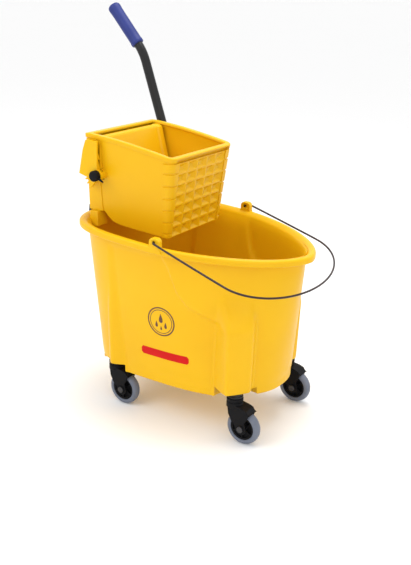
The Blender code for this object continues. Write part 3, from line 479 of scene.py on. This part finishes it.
def make_hull():
    turns = np.linspace(0, 2 * math.pi, RING_POINTS, endpoint=False) + math.pi / RING_POINTS
    rings = [foot_ring(turns, 9.0, KEEL_Z), foot_ring(turns, 8.4, KEEL_Z + 0.2)]
    for inset, lift in ((2.4, 1.6), (1.0, 3.2), (0.4, 5.5)):
        ring = [keel_point(t, inset) for t in turns]
        rings.append([(x, y, KEEL_Z + lift + FRONT_KEEL_LIFT * front_share(x)) for x, y in ring])
    rings.append([(*keel_point(t, 0.1), FOOT_Z) for t in turns])
    rings.append([(x, y, platform_z(x) - 0.5) for x, y in (keel_point(t) for t in turns)])
    for inset, lift in ((2.6, 0.0), (1.2, 0.35), (0.35, 1.2), (0.0, 2.6)):
        ring = [wall_point(t, FOOT_Z, inset * notch_share(t)) for t in turns]
        rings.append([(x, y, platform_z(x) + lift) for x, y in ring])
    for z in [124, 140, 160, 180, 200, 220, 236] + list(np.linspace(246, 402, 40)):
        rings.append([(*wall_point(t, z), z) for t in turns])
    profile = [(-WALL_INSET + 0.3, LIP_DROP + 0.2), (LIP_OUT - 3.0, LIP_DROP)]
    profile += [(LIP_OUT - 3.0 + 3.0 * math.sin(a), LIP_DROP - 3.0 + 3.0 * math.cos(a))
                for a in np.radians([20, 45, 70, 90])]
    profile += [(LIP_OUT - 5.0 + 5.0 * math.cos(a), 5.6 - 5.0 * math.sin(a))
                for a in np.radians([0, 22, 45, 68, 90])]
    profile += [(-2.5, 0.0), (-5.2, 0.6), (-7.4, 2.2), (-WALL_INSET - WALL + 2.0, 6.5),
                (-WALL_INSET - WALL, 10.0)]
    rings += [[rim_point(t, out, drop) for t in turns] for out, drop in profile]
    for z in [390, 372] + list(np.linspace(350, 146, 22)):
        thick = mix(WALL, WALL + 2.5, smooth_step(z, 240, 320))
        rings.append([(*wall_point(t, z, thick, True), z) for t in turns])
    rings.append([(*wall_point(t, STEM_TOP_Z + 6, WALL + 3, True), STEM_TOP_Z + 6) for t in turns])
    rings.append([(*wall_point(t, STEM_TOP_Z + 4, WALL + 6, True), STEM_TOP_Z + 4) for t in turns])
    for inset, z in ((WALL + 2, STEM_TOP_Z + 4), (WALL + 3, STEM_TOP_Z), (WALL + 4, 104.0)):
        rings.append([(*keel_point(t, inset), z) for t in turns])
    rings.append(foot_ring(turns, WALL + 12, KEEL_Z + WALL))
    hull = loft("bucket_hull", rings, YELLOW, angle=38.0)
    place(hull, "bucket", "yellow_shell", "bucket_shell")

    for name, side in SIDES.items():
        low, high = sorted((side * 181.0, side * 194.5))
        lug = prism("bail_lug_" + name, lug_outline(), low, high, YELLOW, bevel=1.6)
        bore = turned("bore", [(0, -20), (3.1, -20), (3.1, 20), (0, 20)], YELLOW,
                      (BAIL_X, side * 187.0, BAIL_Z), "Y", 24)
        place(carve(lug, [bore]), "bucket", "yellow_shell")
        foot = [(-207, 86), (-207, 124), (-232, 124), (-248, 86)]
        head = [(-210, 90), (-210, 120), (-231, 120), (-243, 90)]
        seat = prism("wringer_seat_" + name, [(x, side * y) for x, y in foot], 412.0, FEET_Z - 0.3,
                     YELLOW, "Z", 2.0, [(x, side * y) for x, y in head])
        place(seat, "bucket", "yellow_shell")
    return hull


def lug_outline():
    foot, shoulder = rim_height(0) - 12, 9.0
    left, right = BAIL_X - LUG_HALF, BAIL_X + LUG_HALF
    points = [(left - 5, foot), (right + 5, foot), (right + 1.2, foot + 9), (right, foot + 14)]
    points += arc((right - shoulder, LUG_TOP_Z - shoulder), shoulder, 0, 90, 12)
    points += arc((left + shoulder, LUG_TOP_Z - shoulder), shoulder, 90, 180, 12)
    return points + [(left, foot + 14), (left - 1.2, foot + 9)]


# ---------------------------------------------------------------- prints on the side panel

def side_surface(x, z):
    """The half width of the hull's outer face at a place on its side."""
    low, high = math.radians(20), math.radians(160)
    for _ in range(40):
        middle = (low + high) / 2
        if wall_point(middle, z)[0] > x:
            low = middle
        else:
            high = middle
    return wall_point((low + high) / 2, z)[1]


def print_patch(name, cells, side, skin):
    """A thin raised print on the side panel; cells are loops of (x, z) points, walled where free."""
    def edge_key(start, end):
        return tuple(sorted((round(x, 3), round(z, 3)) for x, z in (start, end)))

    shared = Counter(edge_key(cell[step - 1], cell[step]) for cell in cells for step in range(len(cell)))
    points, faces = [], []
    for cell in cells:
        base = len(points)
        count = len(cell)
        for lift in (PRINT_LIFT, -PRINT_ROOT):
            for x, z in cell:
                points.append((x, side * (side_surface(x, z) + lift), z))
        faces.append(tuple(range(base, base + count)))
        faces.append(tuple(range(base + 2 * count - 1, base + count - 1, -1)))
        for step in range(count):
            after = (step + 1) % count
            if shared[edge_key(cell[step], cell[after])] == 1:
                faces.append((base + step, base + after, base + count + after, base + count + step))
    patch = make_object(name, points, faces, skin, 30.0, weld=0.005)
    place(patch, "bucket")


def ring_cells(centre, inner, outer, count):
    angles = np.linspace(0, 2 * math.pi, count + 1)
    cells = []
    for a, b in zip(angles, angles[1:]):
        cells.append([(centre[0] + r * math.cos(t), centre[1] + r * math.sin(t))
                      for r, t in ((inner, a), (outer, a), (outer, b), (inner, b))])
    return cells


def drop_cell(centre, size, lean=0.0):
    """The outline of a falling drop."""
    shape = []
    for t in np.linspace(0, 2 * math.pi, 28, endpoint=False):
        wide = size * 0.62 * math.sin(t) * math.sin(t / 2) ** 1.6
        tall = -size * math.cos(t)
        shape.append((wide, -tall))
    cos, sin = math.cos(lean), math.sin(lean)
    return [(centre[0] + x * cos - z * sin, centre[1] + x * sin + z * cos) for x, z in shape]


def make_prints():
    for name, side in SIDES.items():
        middle = (PRINT_X, PRINT_Z)
        cells = ring_cells(middle, 31.0, 34.0, 72) + ring_cells(middle, 26.5, 28.0, 72)
        for dx, dz, size in ((0, 8, 11), (-11.5, -7, 7.5), (11.5, -7, 7.5), (0, -15, 5)):
            cells.append(drop_cell((middle[0] + dx, middle[1] + dz), size))
        print_patch("ring_print_" + name, cells, side, BROWN_INK)
        bar = []
        bar_middle, bar_reach = (BAR_X[0] + BAR_X[1]) / 2, (BAR_X[1] - BAR_X[0]) / 2
        edges = np.linspace(BAR_X[0], BAR_X[1], 31)
        for left, right in zip(edges, edges[1:]):
            cell = []
            for x, way in ((left, -1), (right, -1), (right, 1), (left, 1)):
                end = max(abs(x - bar_middle) - (bar_reach - BAR_CORNER), 0)
                half = BAR_HALF - BAR_CORNER + math.sqrt(max(BAR_CORNER ** 2 - end ** 2, 0))
                cell.append((x, BAR_Z + way * half))
            bar.append(cell)
        print_patch("bar_print_" + name, bar, side, RED_INK)


# ---------------------------------------------------------------- casters

def make_caster(corner, x, y):
    stem_profile = [(0, RACE_Z - 16), (STEM_R, RACE_Z - 16), (STEM_R, RACE_Z), (COLLAR_R - 0.5, RACE_Z),
                    (COLLAR_R, RACE_Z + 0.6), (COLLAR_R, RACE_Z + 2.6), (COLLAR_R - 0.6, RACE_Z + 3.2),
                    (COLLAR_R - 2.5, RACE_Z + 4.2), (COLLAR_R - 2.5, PLATFORM_FRONT_Z - 0.3),
                    (STEM_R, PLATFORM_FRONT_Z - 0.3), (STEM_R, STEM_TOP_Z - 1),
                    (STEM_R - 1, STEM_TOP_Z), (0, STEM_TOP_Z)]
    stem = turned("stem_race_" + corner, stem_profile, STEEL, (x, y, 0), segments=56)
    place(stem, "bucket", "caster_steel", "caster_stem_" + corner)
    place(make_fork(corner, x, y), "swivel_" + corner, "black_nylon", "caster_fork_" + corner)
    centre = (x + TRAIL, y, WHEEL_R)
    place(make_hub(corner, centre), "wheel_" + corner, "black_nylon", "wheel_hub_" + corner)
    place(make_tyre(corner, centre), "wheel_" + corner, "tyre_grey", "tyre_" + corner)


def make_fork(corner, x, y):
    """Neck with its rings, hood with a brim, and two legs."""
    wheel_x = x + TRAIL
    leg = [(x + 9, CROWN_Z + 1), (x - 6, 96), (x - 9, 80), (x - 7, 66), (x + 1, 51)]
    leg += arc((wheel_x, WHEEL_R), 13.0, 165, 355, 22)
    leg += [(wheel_x + 8.5, 53), (wheel_x + 15, 64), (wheel_x + 18, 73), (wheel_x + 12, CROWN_Z)]
    parts = []
    for side in (-1, 1):
        low, high = sorted((y + side * FORK_GAP, y + side * (FORK_GAP + FORK_PLATE)))
        parts.append(prism("leg", leg, low, high, NYLON, bevel=0.9))
    half = FORK_GAP + FORK_PLATE - 0.05
    hood = [(x - 8.5, 78), (x - 6, 97), (x + 4, 99), (x + 11, 88), (wheel_x + 2, 85.5),
            (wheel_x + 12, CROWN_Z), (wheel_x + 18, 73)]
    hood += arc((wheel_x, WHEEL_R), WHEEL_R + 2.2, 60, 137, 16)
    parts.append(prism("hood", hood, y - half, y + half, NYLON, bevel=1.4))
    ring_r = COLLAR_R + 0.6
    neck = [(0, CROWN_Z - 2), (ring_r - 0.8, CROWN_Z - 2), (ring_r, CROWN_Z - 1), (ring_r, 91.2),
            (ring_r - 0.4, 92), (ring_r - 1.8, 92.4), (ring_r - 1.8, 94.6), (ring_r - 0.4, 95),
            (ring_r, 95.8), (ring_r, 99.8), (ring_r - 0.8, 100.8), (ring_r - 2.2, 101.2),
            (ring_r - 2.2, RACE_Z - 0.3), (0, RACE_Z - 0.3)]
    parts.append(turned("neck", neck, NYLON, (x, y, 0), segments=56))
    for side in (-1, 1):
        boss = [(0, 0), (9.5, 0), (9.0, 1.0), (0, 1.0)]
        face = side * (FORK_GAP + FORK_PLATE - 0.4)
        parts.append(turned("boss", [(r, face + side * h) for r, h in boss], NYLON,
                            (wheel_x, y, WHEEL_R), "Y", 40))
    return join("fork_body_" + corner, parts)


def make_hub(corner, centre):
    bore, boss, web, rim = AXLE_R + 0.3, FORK_GAP - 0.8, 3.0, TYRE_WIDTH / 2 - 1.6
    half = [(bore, boss), (8.2, boss), (9.0, boss - 0.8), (9.6, web + 1), (11.0, web),
            (HUB_R - 6.5, web), (HUB_R - 4.8, web + 1), (HUB_R - 4.2, rim - 0.8), (HUB_R - 3.4, rim),
            (HUB_R - 0.4, rim)]
    profile = [(r, -h) for r, h in half] + [(r, h) for r, h in reversed(half)]
    parts = [turned("disc", profile, NYLON, centre, "Y", 64)]
    for side in (-1, 1):
        for step in range(6):
            turn = math.pi / 6 + step * math.pi / 3
            rib = box("rib", (9.0, side * web - 0.5 if side > 0 else -8.0, -1.3),
                      (HUB_R - 4.4, 8.0 if side > 0 else -web + 0.5, 1.3), NYLON, bevel=0.5)
            rib.data.transform(Matrix.Translation((-SHIFT_X * MM, 0, 0)))
            rib.data.transform(Matrix.Rotation(turn, 4, 'Y'))
            rib.data.transform(Matrix.Translation(((centre[0] + SHIFT_X) * MM, centre[1] * MM,
                                                   centre[2] * MM)))
            parts.append(rib)
    return join("wheel_core_" + corner, parts)


def make_tyre(corner, centre):
    half = TYRE_WIDTH / 2
    side = [(HUB_R + 0.1, half - 1.2), (HUB_R + 0.6, half - 0.4), (HUB_R + 1.6, half),
            (HUB_R + 4.4, half), (HUB_R + 5.0, half - 0.35), (HUB_R + 5.6, half - 0.35),
            (HUB_R + 6.2, half - 0.5), (WHEEL_R - 3.4, half - 1.4), (WHEEL_R - 1.9, half - 2.9),
            (WHEEL_R - 0.9, half - 5.0), (WHEEL_R - 0.3, half - 7.4), (WHEEL_R, 0.6)]
    profile = [(r, -h) for r, h in side] + [(r, h) for r, h in reversed(side)]
    return turned("tyre_ring_" + corner, profile, TYRE, centre, "Y", 96, angle=30.0)


# ---------------------------------------------------------------- bail

def make_bail():
    half = [(0.0, 177.0), (0.0, 190.0)]
    half += [(6.0 - 6.0 * math.cos(a), BAIL_END_Y - 6.0 + 6.0 * math.sin(a))
             for a in np.radians([0, 30, 60, 90])]
    for share in (0.2, 0.4, 0.6, 0.8):
        half.append((BAIL_ARM * share, mix(BAIL_END_Y, BAIL_WIDE_Y, math.sin(share * math.pi / 2))))
    for angle in np.radians(np.linspace(0, 90, 12)):
        half.append((BAIL_ARM + BAIL_NOSE * math.sin(angle), BAIL_WIDE_Y * math.cos(angle)))
    flat = half + [(along, -side) for along, side in reversed(half[:-1])]
    path = [(BAIL_X + along * math.cos(BAIL_DROOP), side, BAIL_Z - along * math.sin(BAIL_DROOP))
            for along, side in flat]
    bail = sweep("bail_wire", smooth_path(path, 6), BAIL_WIRE_R, WIRE, 16)
    place(bail, "bail", "bail_wire", "bail_handle")


# ---------------------------------------------------------------- wringer housing

def housing_top(x):
    share = (x - TOP_REAR[0]) / (TOP_FRONT[0] - TOP_REAR[0])
    return TOP_REAR[1] + 1.0 - (TOP_REAR[1] + 1.0 - TOP_FRONT[1]) * max(share, 0.0) ** 1.5


def side_y(z):
    return SIDE_FOOT_Y + (z - SIDE_FOOT_Z) * SIDE_SLOPE


def rear_x(z):
    return TOP_REAR[0] + (TOP_REAR[1] - z) * REAR_LEAN


def front_x(z):
    return TOP_FRONT[0] - (TOP_FRONT[1] - z) * FRONT_LEAN


def floor_z(x):
    return float(np.interp(x, [-230, -201, -199, -190, -178, -160, -120, -30],
                           [FEET_Z, FEET_Z, 444, 433, 424, 419.5, 416, 410.5]))


def corner_share(z):
    return (z - SIDE_FOOT_Z) / (TOP_FRONT[1] - SIDE_FOOT_Z)


def corner_radius(z):
    return mix(CORNER_FOOT_R, CORNER_TOP_R, corner_share(z))


def waffle_half(z):
    """Half width of the waffled field between the two corner columns."""
    return side_y(z) - PROUD - corner_radius(z) - mix(4.0, 9.0, corner_share(z))


def settle(height_at, line, out):
    """Where a sloping line at the front or rear meets a height that varies along X."""
    x = line(550.0) + out
    for _ in range(6):
        x = line(height_at(x)) + out
    return x


def housing_loop(height_at, out, nose_out=None, open_front=False):
    """Points round the housing: rear corner, side, round front corner, front, mirrored."""
    nose = settle(height_at, front_x, out)
    back = settle(height_at, rear_x, -out)
    z_nose = height_at(nose)
    radius = max(corner_radius(z_nose) + out, 2.0)
    wide = side_y(z_nose) + out
    right = []
    stations = list(np.linspace(0, 0.3, 16)) + list(np.linspace(0.33, 1, 14))
    for share in stations:
        x = mix(back, nose - radius, share)
        z = height_at(x)
        right.append((x, -(side_y(z) + out) + (1.6 if share == 0 else 0.0), z))
    for turn in np.radians(np.linspace(0, 90, 11))[1:]:
        x = nose - radius + radius * math.sin(turn)
        right.append((x, -(wide - radius + radius * math.cos(turn)), height_at(x)))
    field = wide - radius - 0.6 if open_front else waffle_half(z_nose) + 0.3
    set_back = settle(height_at, front_x, out if nose_out is None else nose_out)
    right.append((nose, -field, z_nose))
    right.append((set_back, -field + 0.05, height_at(set_back)))
    for share in (0.75, 0.5, 0.25, 0.02):
        right.append((set_back, -field * share, height_at(set_back)))
    return right + [(x, -y, z) for x, y, z in reversed(right)]


def make_housing():
    wall = -PROUD
    deep = wall - SLAB_DEPTH

    def between(share):
        return lambda x: mix(floor_z(x), housing_top(x) - GROOVE_FOOT, share)

    def below(drop):
        return lambda x: housing_top(x) - drop

    rings = [housing_loop(lambda x: floor_z(x), wall - 1.2, deep)]
    rings.append(housing_loop(lambda x: floor_z(x) + 1.2, wall, deep))
    rings += [housing_loop(between(share), wall, deep) for share in np.linspace(0.04, 1, 13)]
    rings.append(housing_loop(below(GROOVE_FOOT - 0.4), wall, deep, True))
    rings.append(housing_loop(below(10.4), wall, deep, True))
    rings.append(housing_loop(below(10.0), wall + 0.3, deep, True))
    rings.append(housing_loop(below(9.7), -0.3, deep, True))
    rings.append(housing_loop(below(9.0), 0.0, deep, True))
    rings.append(housing_loop(below(GROOVE_TOP + 0.3), 0.0, deep, True))
    rings.append(housing_loop(below(GROOVE_TOP), 0.0, -0.3, True))
    for drop, out in ((3.2, 0.0), (1.8, 0.0), (0.9, -0.3), (0.3, -0.9), (0.0, -1.9), (0.0, -10.1),
                      (0.3, -11.1), (0.9, -11.7), (1.9, -12.0), (5.5, -12.0)):
        rings.append(housing_loop(below(drop), out))
    inner = wall - HOUSING_WALL
    rings.append(housing_loop(below(8.5), inner - 2.0, deep - HOUSING_WALL))
    for share in (0.97, 0.8, 0.6, 0.4, 0.2, 0.06):
        rings.append(housing_loop(lambda x, s=share: mix(floor_z(x) + 3.5, housing_top(x) - 9, s),
                                  inner, deep - HOUSING_WALL))
    rings.append(housing_loop(lambda x: floor_z(x) + 3.5, inner - 1.5, deep - HOUSING_WALL - 1.5))

    count = len(rings[0])
    points = [point for ring in rings for point in ring]
    faces = band_faces(len(rings), count)
    for base in (0, (len(rings) - 1) * count):
        for step in range(count // 2 - 1):
            other = count - 1 - step
            faces.append((base + step, base + step + 1, base + other - 1, base + other))
    shell = make_object("housing_shell", points, faces, YELLOW, 32.0)
    slots = []
    for row in range(5):
        x = -164 + row * 29
        slots.append(box("slot", (x, -70, 395), (x + 9, 70, 436), YELLOW))
    carve(shell, slots)
    shell.data.shade_smooth()
    shell.data.set_sharp_from_angle(angle=math.radians(32))
    place(shell, "wringer", "yellow_shell", "wringer_housing")


def make_waffle():
    """The front wall: rows and columns of pyramid dimples between raised ribs."""
    foot = floor_z(-30) + 0.6
    head = housing_top(-14) - GROOVE_FOOT

    def spot(across, up, depth):
        z = mix(foot, head, up)
        return (front_x(z) - PROUD - depth, waffle_half(z) * (2 * across - 1), z)

    rib_u, rib_v = 0.055, 0.075
    points, faces = [], []
    for column in range(WAFFLE_COLUMNS):
        for row in range(WAFFLE_ROWS):
            base = len(points)
            rings = ((0.0, 0.0, 0.0), (rib_u, rib_v, 0.0), (rib_u + 0.03, rib_v + 0.04, 0.7),
                     (0.36, 0.36, 5.0), (0.42, 0.42, 5.4))
            for du, dv, depth in rings:
                for u, v in ((du, dv), (1 - du, dv), (1 - du, 1 - dv), (du, 1 - dv)):
                    points.append(spot((column + u) / WAFFLE_COLUMNS, (row + v) / WAFFLE_ROWS, depth))
            faces += band_faces(len(rings), 4, base)
            top = base + 4 * (len(rings) - 1)
            faces.append((top, top + 1, top + 2, top + 3))
    base = len(points)
    for depth in (0.0, SLAB_DEPTH - 0.1):
        points += [spot(across, up, depth) for across, up in ((0, 0), (1, 0), (1, 1), (0, 1))]
    faces.append((base + 4, base + 5, base + 6, base + 7))
    faces += band_faces(2, 4, base)
    slab = make_object("waffle_front", points, faces, YELLOW, 12.0, weld=0.01)
    place(slab, "wringer", "yellow_shell")


def make_corner_columns():
    """The ladder-like columns at the two front corners."""
    grooves = [581.5, 556.0, 528.5, 501.0, 473.5, 446.5, 421.0]
    foot = floor_z(-30) + 0.8
    head = housing_top(-14) - GROOVE_FOOT + 1.5
    levels = [(foot, 0.2), (foot + 0.8, 2.2)]
    for z in sorted(grooves):
        if foot + 4 < z < head - 3:
            levels += [(z - 2.4, 2.2), (z - 1.3, -0.4), (z + 1.3, -0.4), (z + 2.4, 2.2)]
    levels += [(head - 1.0, 2.2), (head, 0.2)]
    for name, side in SIDES.items():
        rings = []
        for z, lift in levels:
            outline = []
            for out, way in ((-PROUD + lift, 1), (-PROUD - 2.4, -1)):
                nose, wide = front_x(z) + out, side_y(z) + out
                radius = max(corner_radius(z) + out, 2.0)
                run = [(nose - radius - 9.0 + (0.8 if way > 0 else 0.0), wide)]
                run += [(nose - radius + radius * math.sin(t), wide - radius + radius * math.cos(t))
                        for t in np.radians(np.linspace(0, 90, 13))]
                run.append((nose, waffle_half(z) + 0.6))
                outline += run if way > 0 else run[::-1]
            rings.append([(x, side * y, z) for x, y in outline])
        column = loft("corner_column_" + name, rings, YELLOW, 30.0)
        place(column, "wringer", "yellow_shell")


def make_rear_columns():
    """Slightly proud uprights at the rear edge of the two sides."""
    for name, side in SIDES.items():
        rings = []
        for z in np.linspace(FEET_Z, 610.0, 12):
            seam = mix(-203.5, -209.0, (z - 455) / 150)
            back = rear_x(z) - 0.2 + PROUD
            low, high = side_y(z) - PROUD - 1.5, side_y(z) - 0.2
            rings.append([(back, side * low, z), (seam, side * low, z), (seam, side * (high - 0.7), z),
                          (seam - 0.7, side * high, z), (back + 1.2, side * high, z),
                          (back, side * (high - 1.2), z)])
        column = loft("rear_column_" + name, rings, YELLOW, 30.0)
        place(column, "wringer", "yellow_shell")


def make_cover_screws():
    for number, (y, z) in enumerate(((-86, 474), (86, 474), (-86, 600), (86, 600))):
        face = rear_x(z) + PROUD - 3.7
        profile = [(0, 0.6), (3.4, 0.6), (3.3, -0.8), (2.5, -1.7), (1.2, -2.1), (0, -2.1)]
        screw = turned("cover_screw_%d" % number, profile, ZINC, (face, y, z), "X", 32)
        cross = [box("cross", (face - 2.5, y - 1.6, z - 0.35), (face - 0.9, y + 1.6, z + 0.35), ZINC),
                 box("cross", (face - 2.5, y - 0.35, z - 1.6), (face - 0.9, y + 0.35, z + 1.6), ZINC)]
        place(carve(screw, cross), "wringer", "zinc")


# ---------------------------------------------------------------- handle

def lean_way(angle):
    return Vector((-math.sin(angle), 0.0, math.cos(angle)))


def turned_along(name, stations, start, way, skin, segments=64):
    """A round body whose radius changes along a straight line."""
    path = [start + way * along for along, _ in stations]
    return sweep(name, path, [radius for _, radius in stations], skin, segments)


def make_handle():
    shaft = Vector((SHAFT_X, HANDLE_Y, SHAFT_Z))
    bend = Vector((BEND_POINT[0], HANDLE_Y, BEND_POINT[1]))
    top = Vector((GRIP_TOP[0], HANDLE_Y, GRIP_TOP[1]))
    way, top_way = lean_way(HANDLE_LEAN), lean_way(GRIP_LEAN)

    start = shaft + way * 21.3
    path = [start, start.lerp(bend, 0.5)]
    before, after = bend - way * 24, bend + top_way * 24
    for share in np.linspace(0, 1, 25):
        path.append(before * (1 - share) ** 2 + bend * 2 * share * (1 - share) + after * share ** 2)
    path.append(top - top_way * 8)
    place(sweep("lever_tube", path, TUBE_R, STEEL, 48), "handle", "tube_black", "handle_tube")

    stations = [(-GRIP_LENGTH, 11.2), (-GRIP_LENGTH + 0.1, 13.2), (-GRIP_LENGTH + 0.9, 14.6),
                (-GRIP_LENGTH + 2.4, GRIP_R), (-GRIP_LENGTH + 8.5, GRIP_R),
                (-GRIP_LENGTH + 10, GRIP_R - 0.7)]
    stations += [(along, GRIP_R - 0.7) for along in (-90, -70, -50, -30)]
    stations += [(-18, GRIP_R - 0.4), (-12, GRIP_R)]
    stations += [(-8 + 8 * math.sin(a), GRIP_R - 7.5 + 7.5 * math.cos(a))
                 for a in np.radians([0, 20, 40, 60, 75, 90])]
    stations.append((0.05, 2.0))
    grip = turned_along("lever_grip", stations, top, top_way, BLUE)
    place(grip, "handle", "grip_blue", "handle_grip")

    low = COVER_OUT_Y + 1.2
    profile = [(SHAFT_R + 0.3, low), (16.0, low), (17.0, low + 1), (17.0, 162.0), (16.0, 163.0),
               (SHAFT_R + 0.3, 163.0)]
    boss = turned("boss", profile, STEEL, (SHAFT_X, 0, SHAFT_Z), "Y", 64)
    outer = TUBE_R + 2.4
    sleeve = turned_along("sleeve", [(13.5, outer - 1), (14.5, outer), (74.0, outer), (75.3, outer - 1.2),
                                     (75.5, TUBE_R + 0.2)], shaft, way, STEEL)
    place(join("lever_socket", [boss, sleeve]), "handle", "tube_black", "handle_socket")

    cap = [(0, -149.3), (8.6, -149.3), (10.6, -148.7), (11.7, -147.6), (12.0, -146.2),
           (12.0, -COVER_OUT_Y - 0.5), (SHAFT_R + 0.3, -COVER_OUT_Y - 0.3), (0, -COVER_OUT_Y - 0.3)]
    knob = turned("knob", cap, NYLON, (SHAFT_X, 0, SHAFT_Z), "Y", 56)
    # The black tail is painted shadow: a nylon tab standing in for the dark shadow gap that runs forward
    # and down from the knob.
    tail = sweep("tail", [(SHAFT_X + 9, -141.0, SHAFT_Z - 4), (SHAFT_X + 15, -140.0, SHAFT_Z - 8),
                          (SHAFT_X + 21, -139.4, SHAFT_Z - 12)], [3.4, 2.6, 1.6], NYLON, 14)
    place(join("shaft_cap", [knob, tail]), "handle", "black_nylon", "shaft_end_cap")


# ---------------------------------------------------------------- pieces kept from the frame

def finish_frame_nodes():
    """CAD nodes that keep their shape: a real finish and rounded edges."""
    finishes = {
        YELLOW: ("rear_cover", "gear_cover_left", "gear_cover_right", "plate_gear_left",
                 "plate_gear_right", "drive_gear_left", "drive_gear_right", "pressure_plate"),
        NYLON: ("shaft_bush_left", "shaft_bush_right"),
        STEEL: ("rim_hook_left", "rim_hook_right"),
        ZINC: ("return_spring_left", "return_spring_right", "plate_shaft", "drive_shaft",
               "socket_bolt"),
        AXLE: tuple("caster_axle_" + corner for corner in CORNERS),
    }
    widths = {"gear_cover_left": 0.5, "gear_cover_right": 0.5, "pressure_plate": 1.2,
              "rear_cover": 1.4, "rim_hook_left": 0.6, "rim_hook_right": 0.6}
    for skin, names in finishes.items():
        for name in names:
            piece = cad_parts[name]
            piece.data.materials.clear()
            piece.data.materials.append(skin)
            if "spring" not in name:
                soften(piece, widths.get(name, LEAST_SOFTENING), weld=True)


# ---------------------------------------------------------------- studio

def make_studio():
    floor = bpy.data.meshes.new("floor")
    size = 60.0
    floor.from_pydata([(-size, -size, 0), (size, -size, 0), (size, size, 0), (-size, size, 0)], [],
                      [(0, 1, 2, 3)])
    ground = bpy.data.objects.new("floor", floor)
    bpy.context.collection.objects.link(ground)
    floor.materials.append(surface("pale_floor", (0.955, 0.955, 0.955), (0.95, 0.95, 0.95), 0.75, 0.03,
                                   blotch=0.7, bump=0.02, specular=0.15))

    world = bpy.data.worlds.new("studio")
    bpy.context.scene.world = world
    world.use_nodes = True
    back = world.node_tree.nodes["Background"]
    back.inputs["Color"].default_value = (1.0, 1.0, 1.0, 1.0)
    back.inputs["Strength"].default_value = 1.02

    centre = Vector((0.0, 0.0, 0.40))
    for name, spot, size, power in (("key", (-0.9, -1.9, 1.9), 1.3, 13.0),
                                    ("front", (1.9, -1.5, 1.2), 1.4, 5.0),
                                    ("top", (0.2, 0.3, 2.4), 1.2, 26.0)):
        data = bpy.data.lights.new(name, 'AREA')
        data.size = size
        data.energy = power
        light = bpy.data.objects.new(name, data)
        light.location = spot
        light.rotation_mode = 'QUATERNION'
        light.rotation_quaternion = (centre - Vector(spot)).to_track_quat('-Z', 'Y')
        bpy.context.collection.objects.link(light)
    bpy.context.scene.view_settings.view_transform = 'Standard'


def make_camera():
    azimuth, elevation, roll = math.radians(33.5), math.radians(16.35), math.radians(1.11)
    back = Vector((math.sin(azimuth) * math.cos(elevation), -math.cos(azimuth) * math.cos(elevation),
                   math.sin(elevation)))
    right = Vector((math.cos(azimuth), math.sin(azimuth), 0.0))
    up = back.cross(right)
    across = right * math.cos(roll) + up * math.sin(roll)
    above = up * math.cos(roll) - right * math.sin(roll)
    data = bpy.data.cameras.new("camera")
    data.sensor_width = 36.0
    data.lens = 55.38
    data.shift_x, data.shift_y = 0.0419, -0.0900
    data.clip_start, data.clip_end = 0.05, 200.0
    camera = bpy.data.objects.new("camera", data)
    place_at = Vector(((981.7 + SHIFT_X) * MM, -1578.3 * MM, 952.5 * MM))
    turn = Matrix((across, above, back)).transposed().to_4x4()
    camera.matrix_world = Matrix.Translation(place_at) @ turn
    bpy.context.collection.objects.link(camera)
    bpy.context.scene.camera = camera


make_camera()
make_studio()
make_hull()
make_prints()
for corner_name, (stem_x, stem_y) in CORNERS.items():
    make_caster(corner_name, stem_x, stem_y)
make_bail()
make_housing()
make_waffle()
make_corner_columns()
make_rear_columns()
make_cover_screws()
make_handle()
finish_frame_nodes()
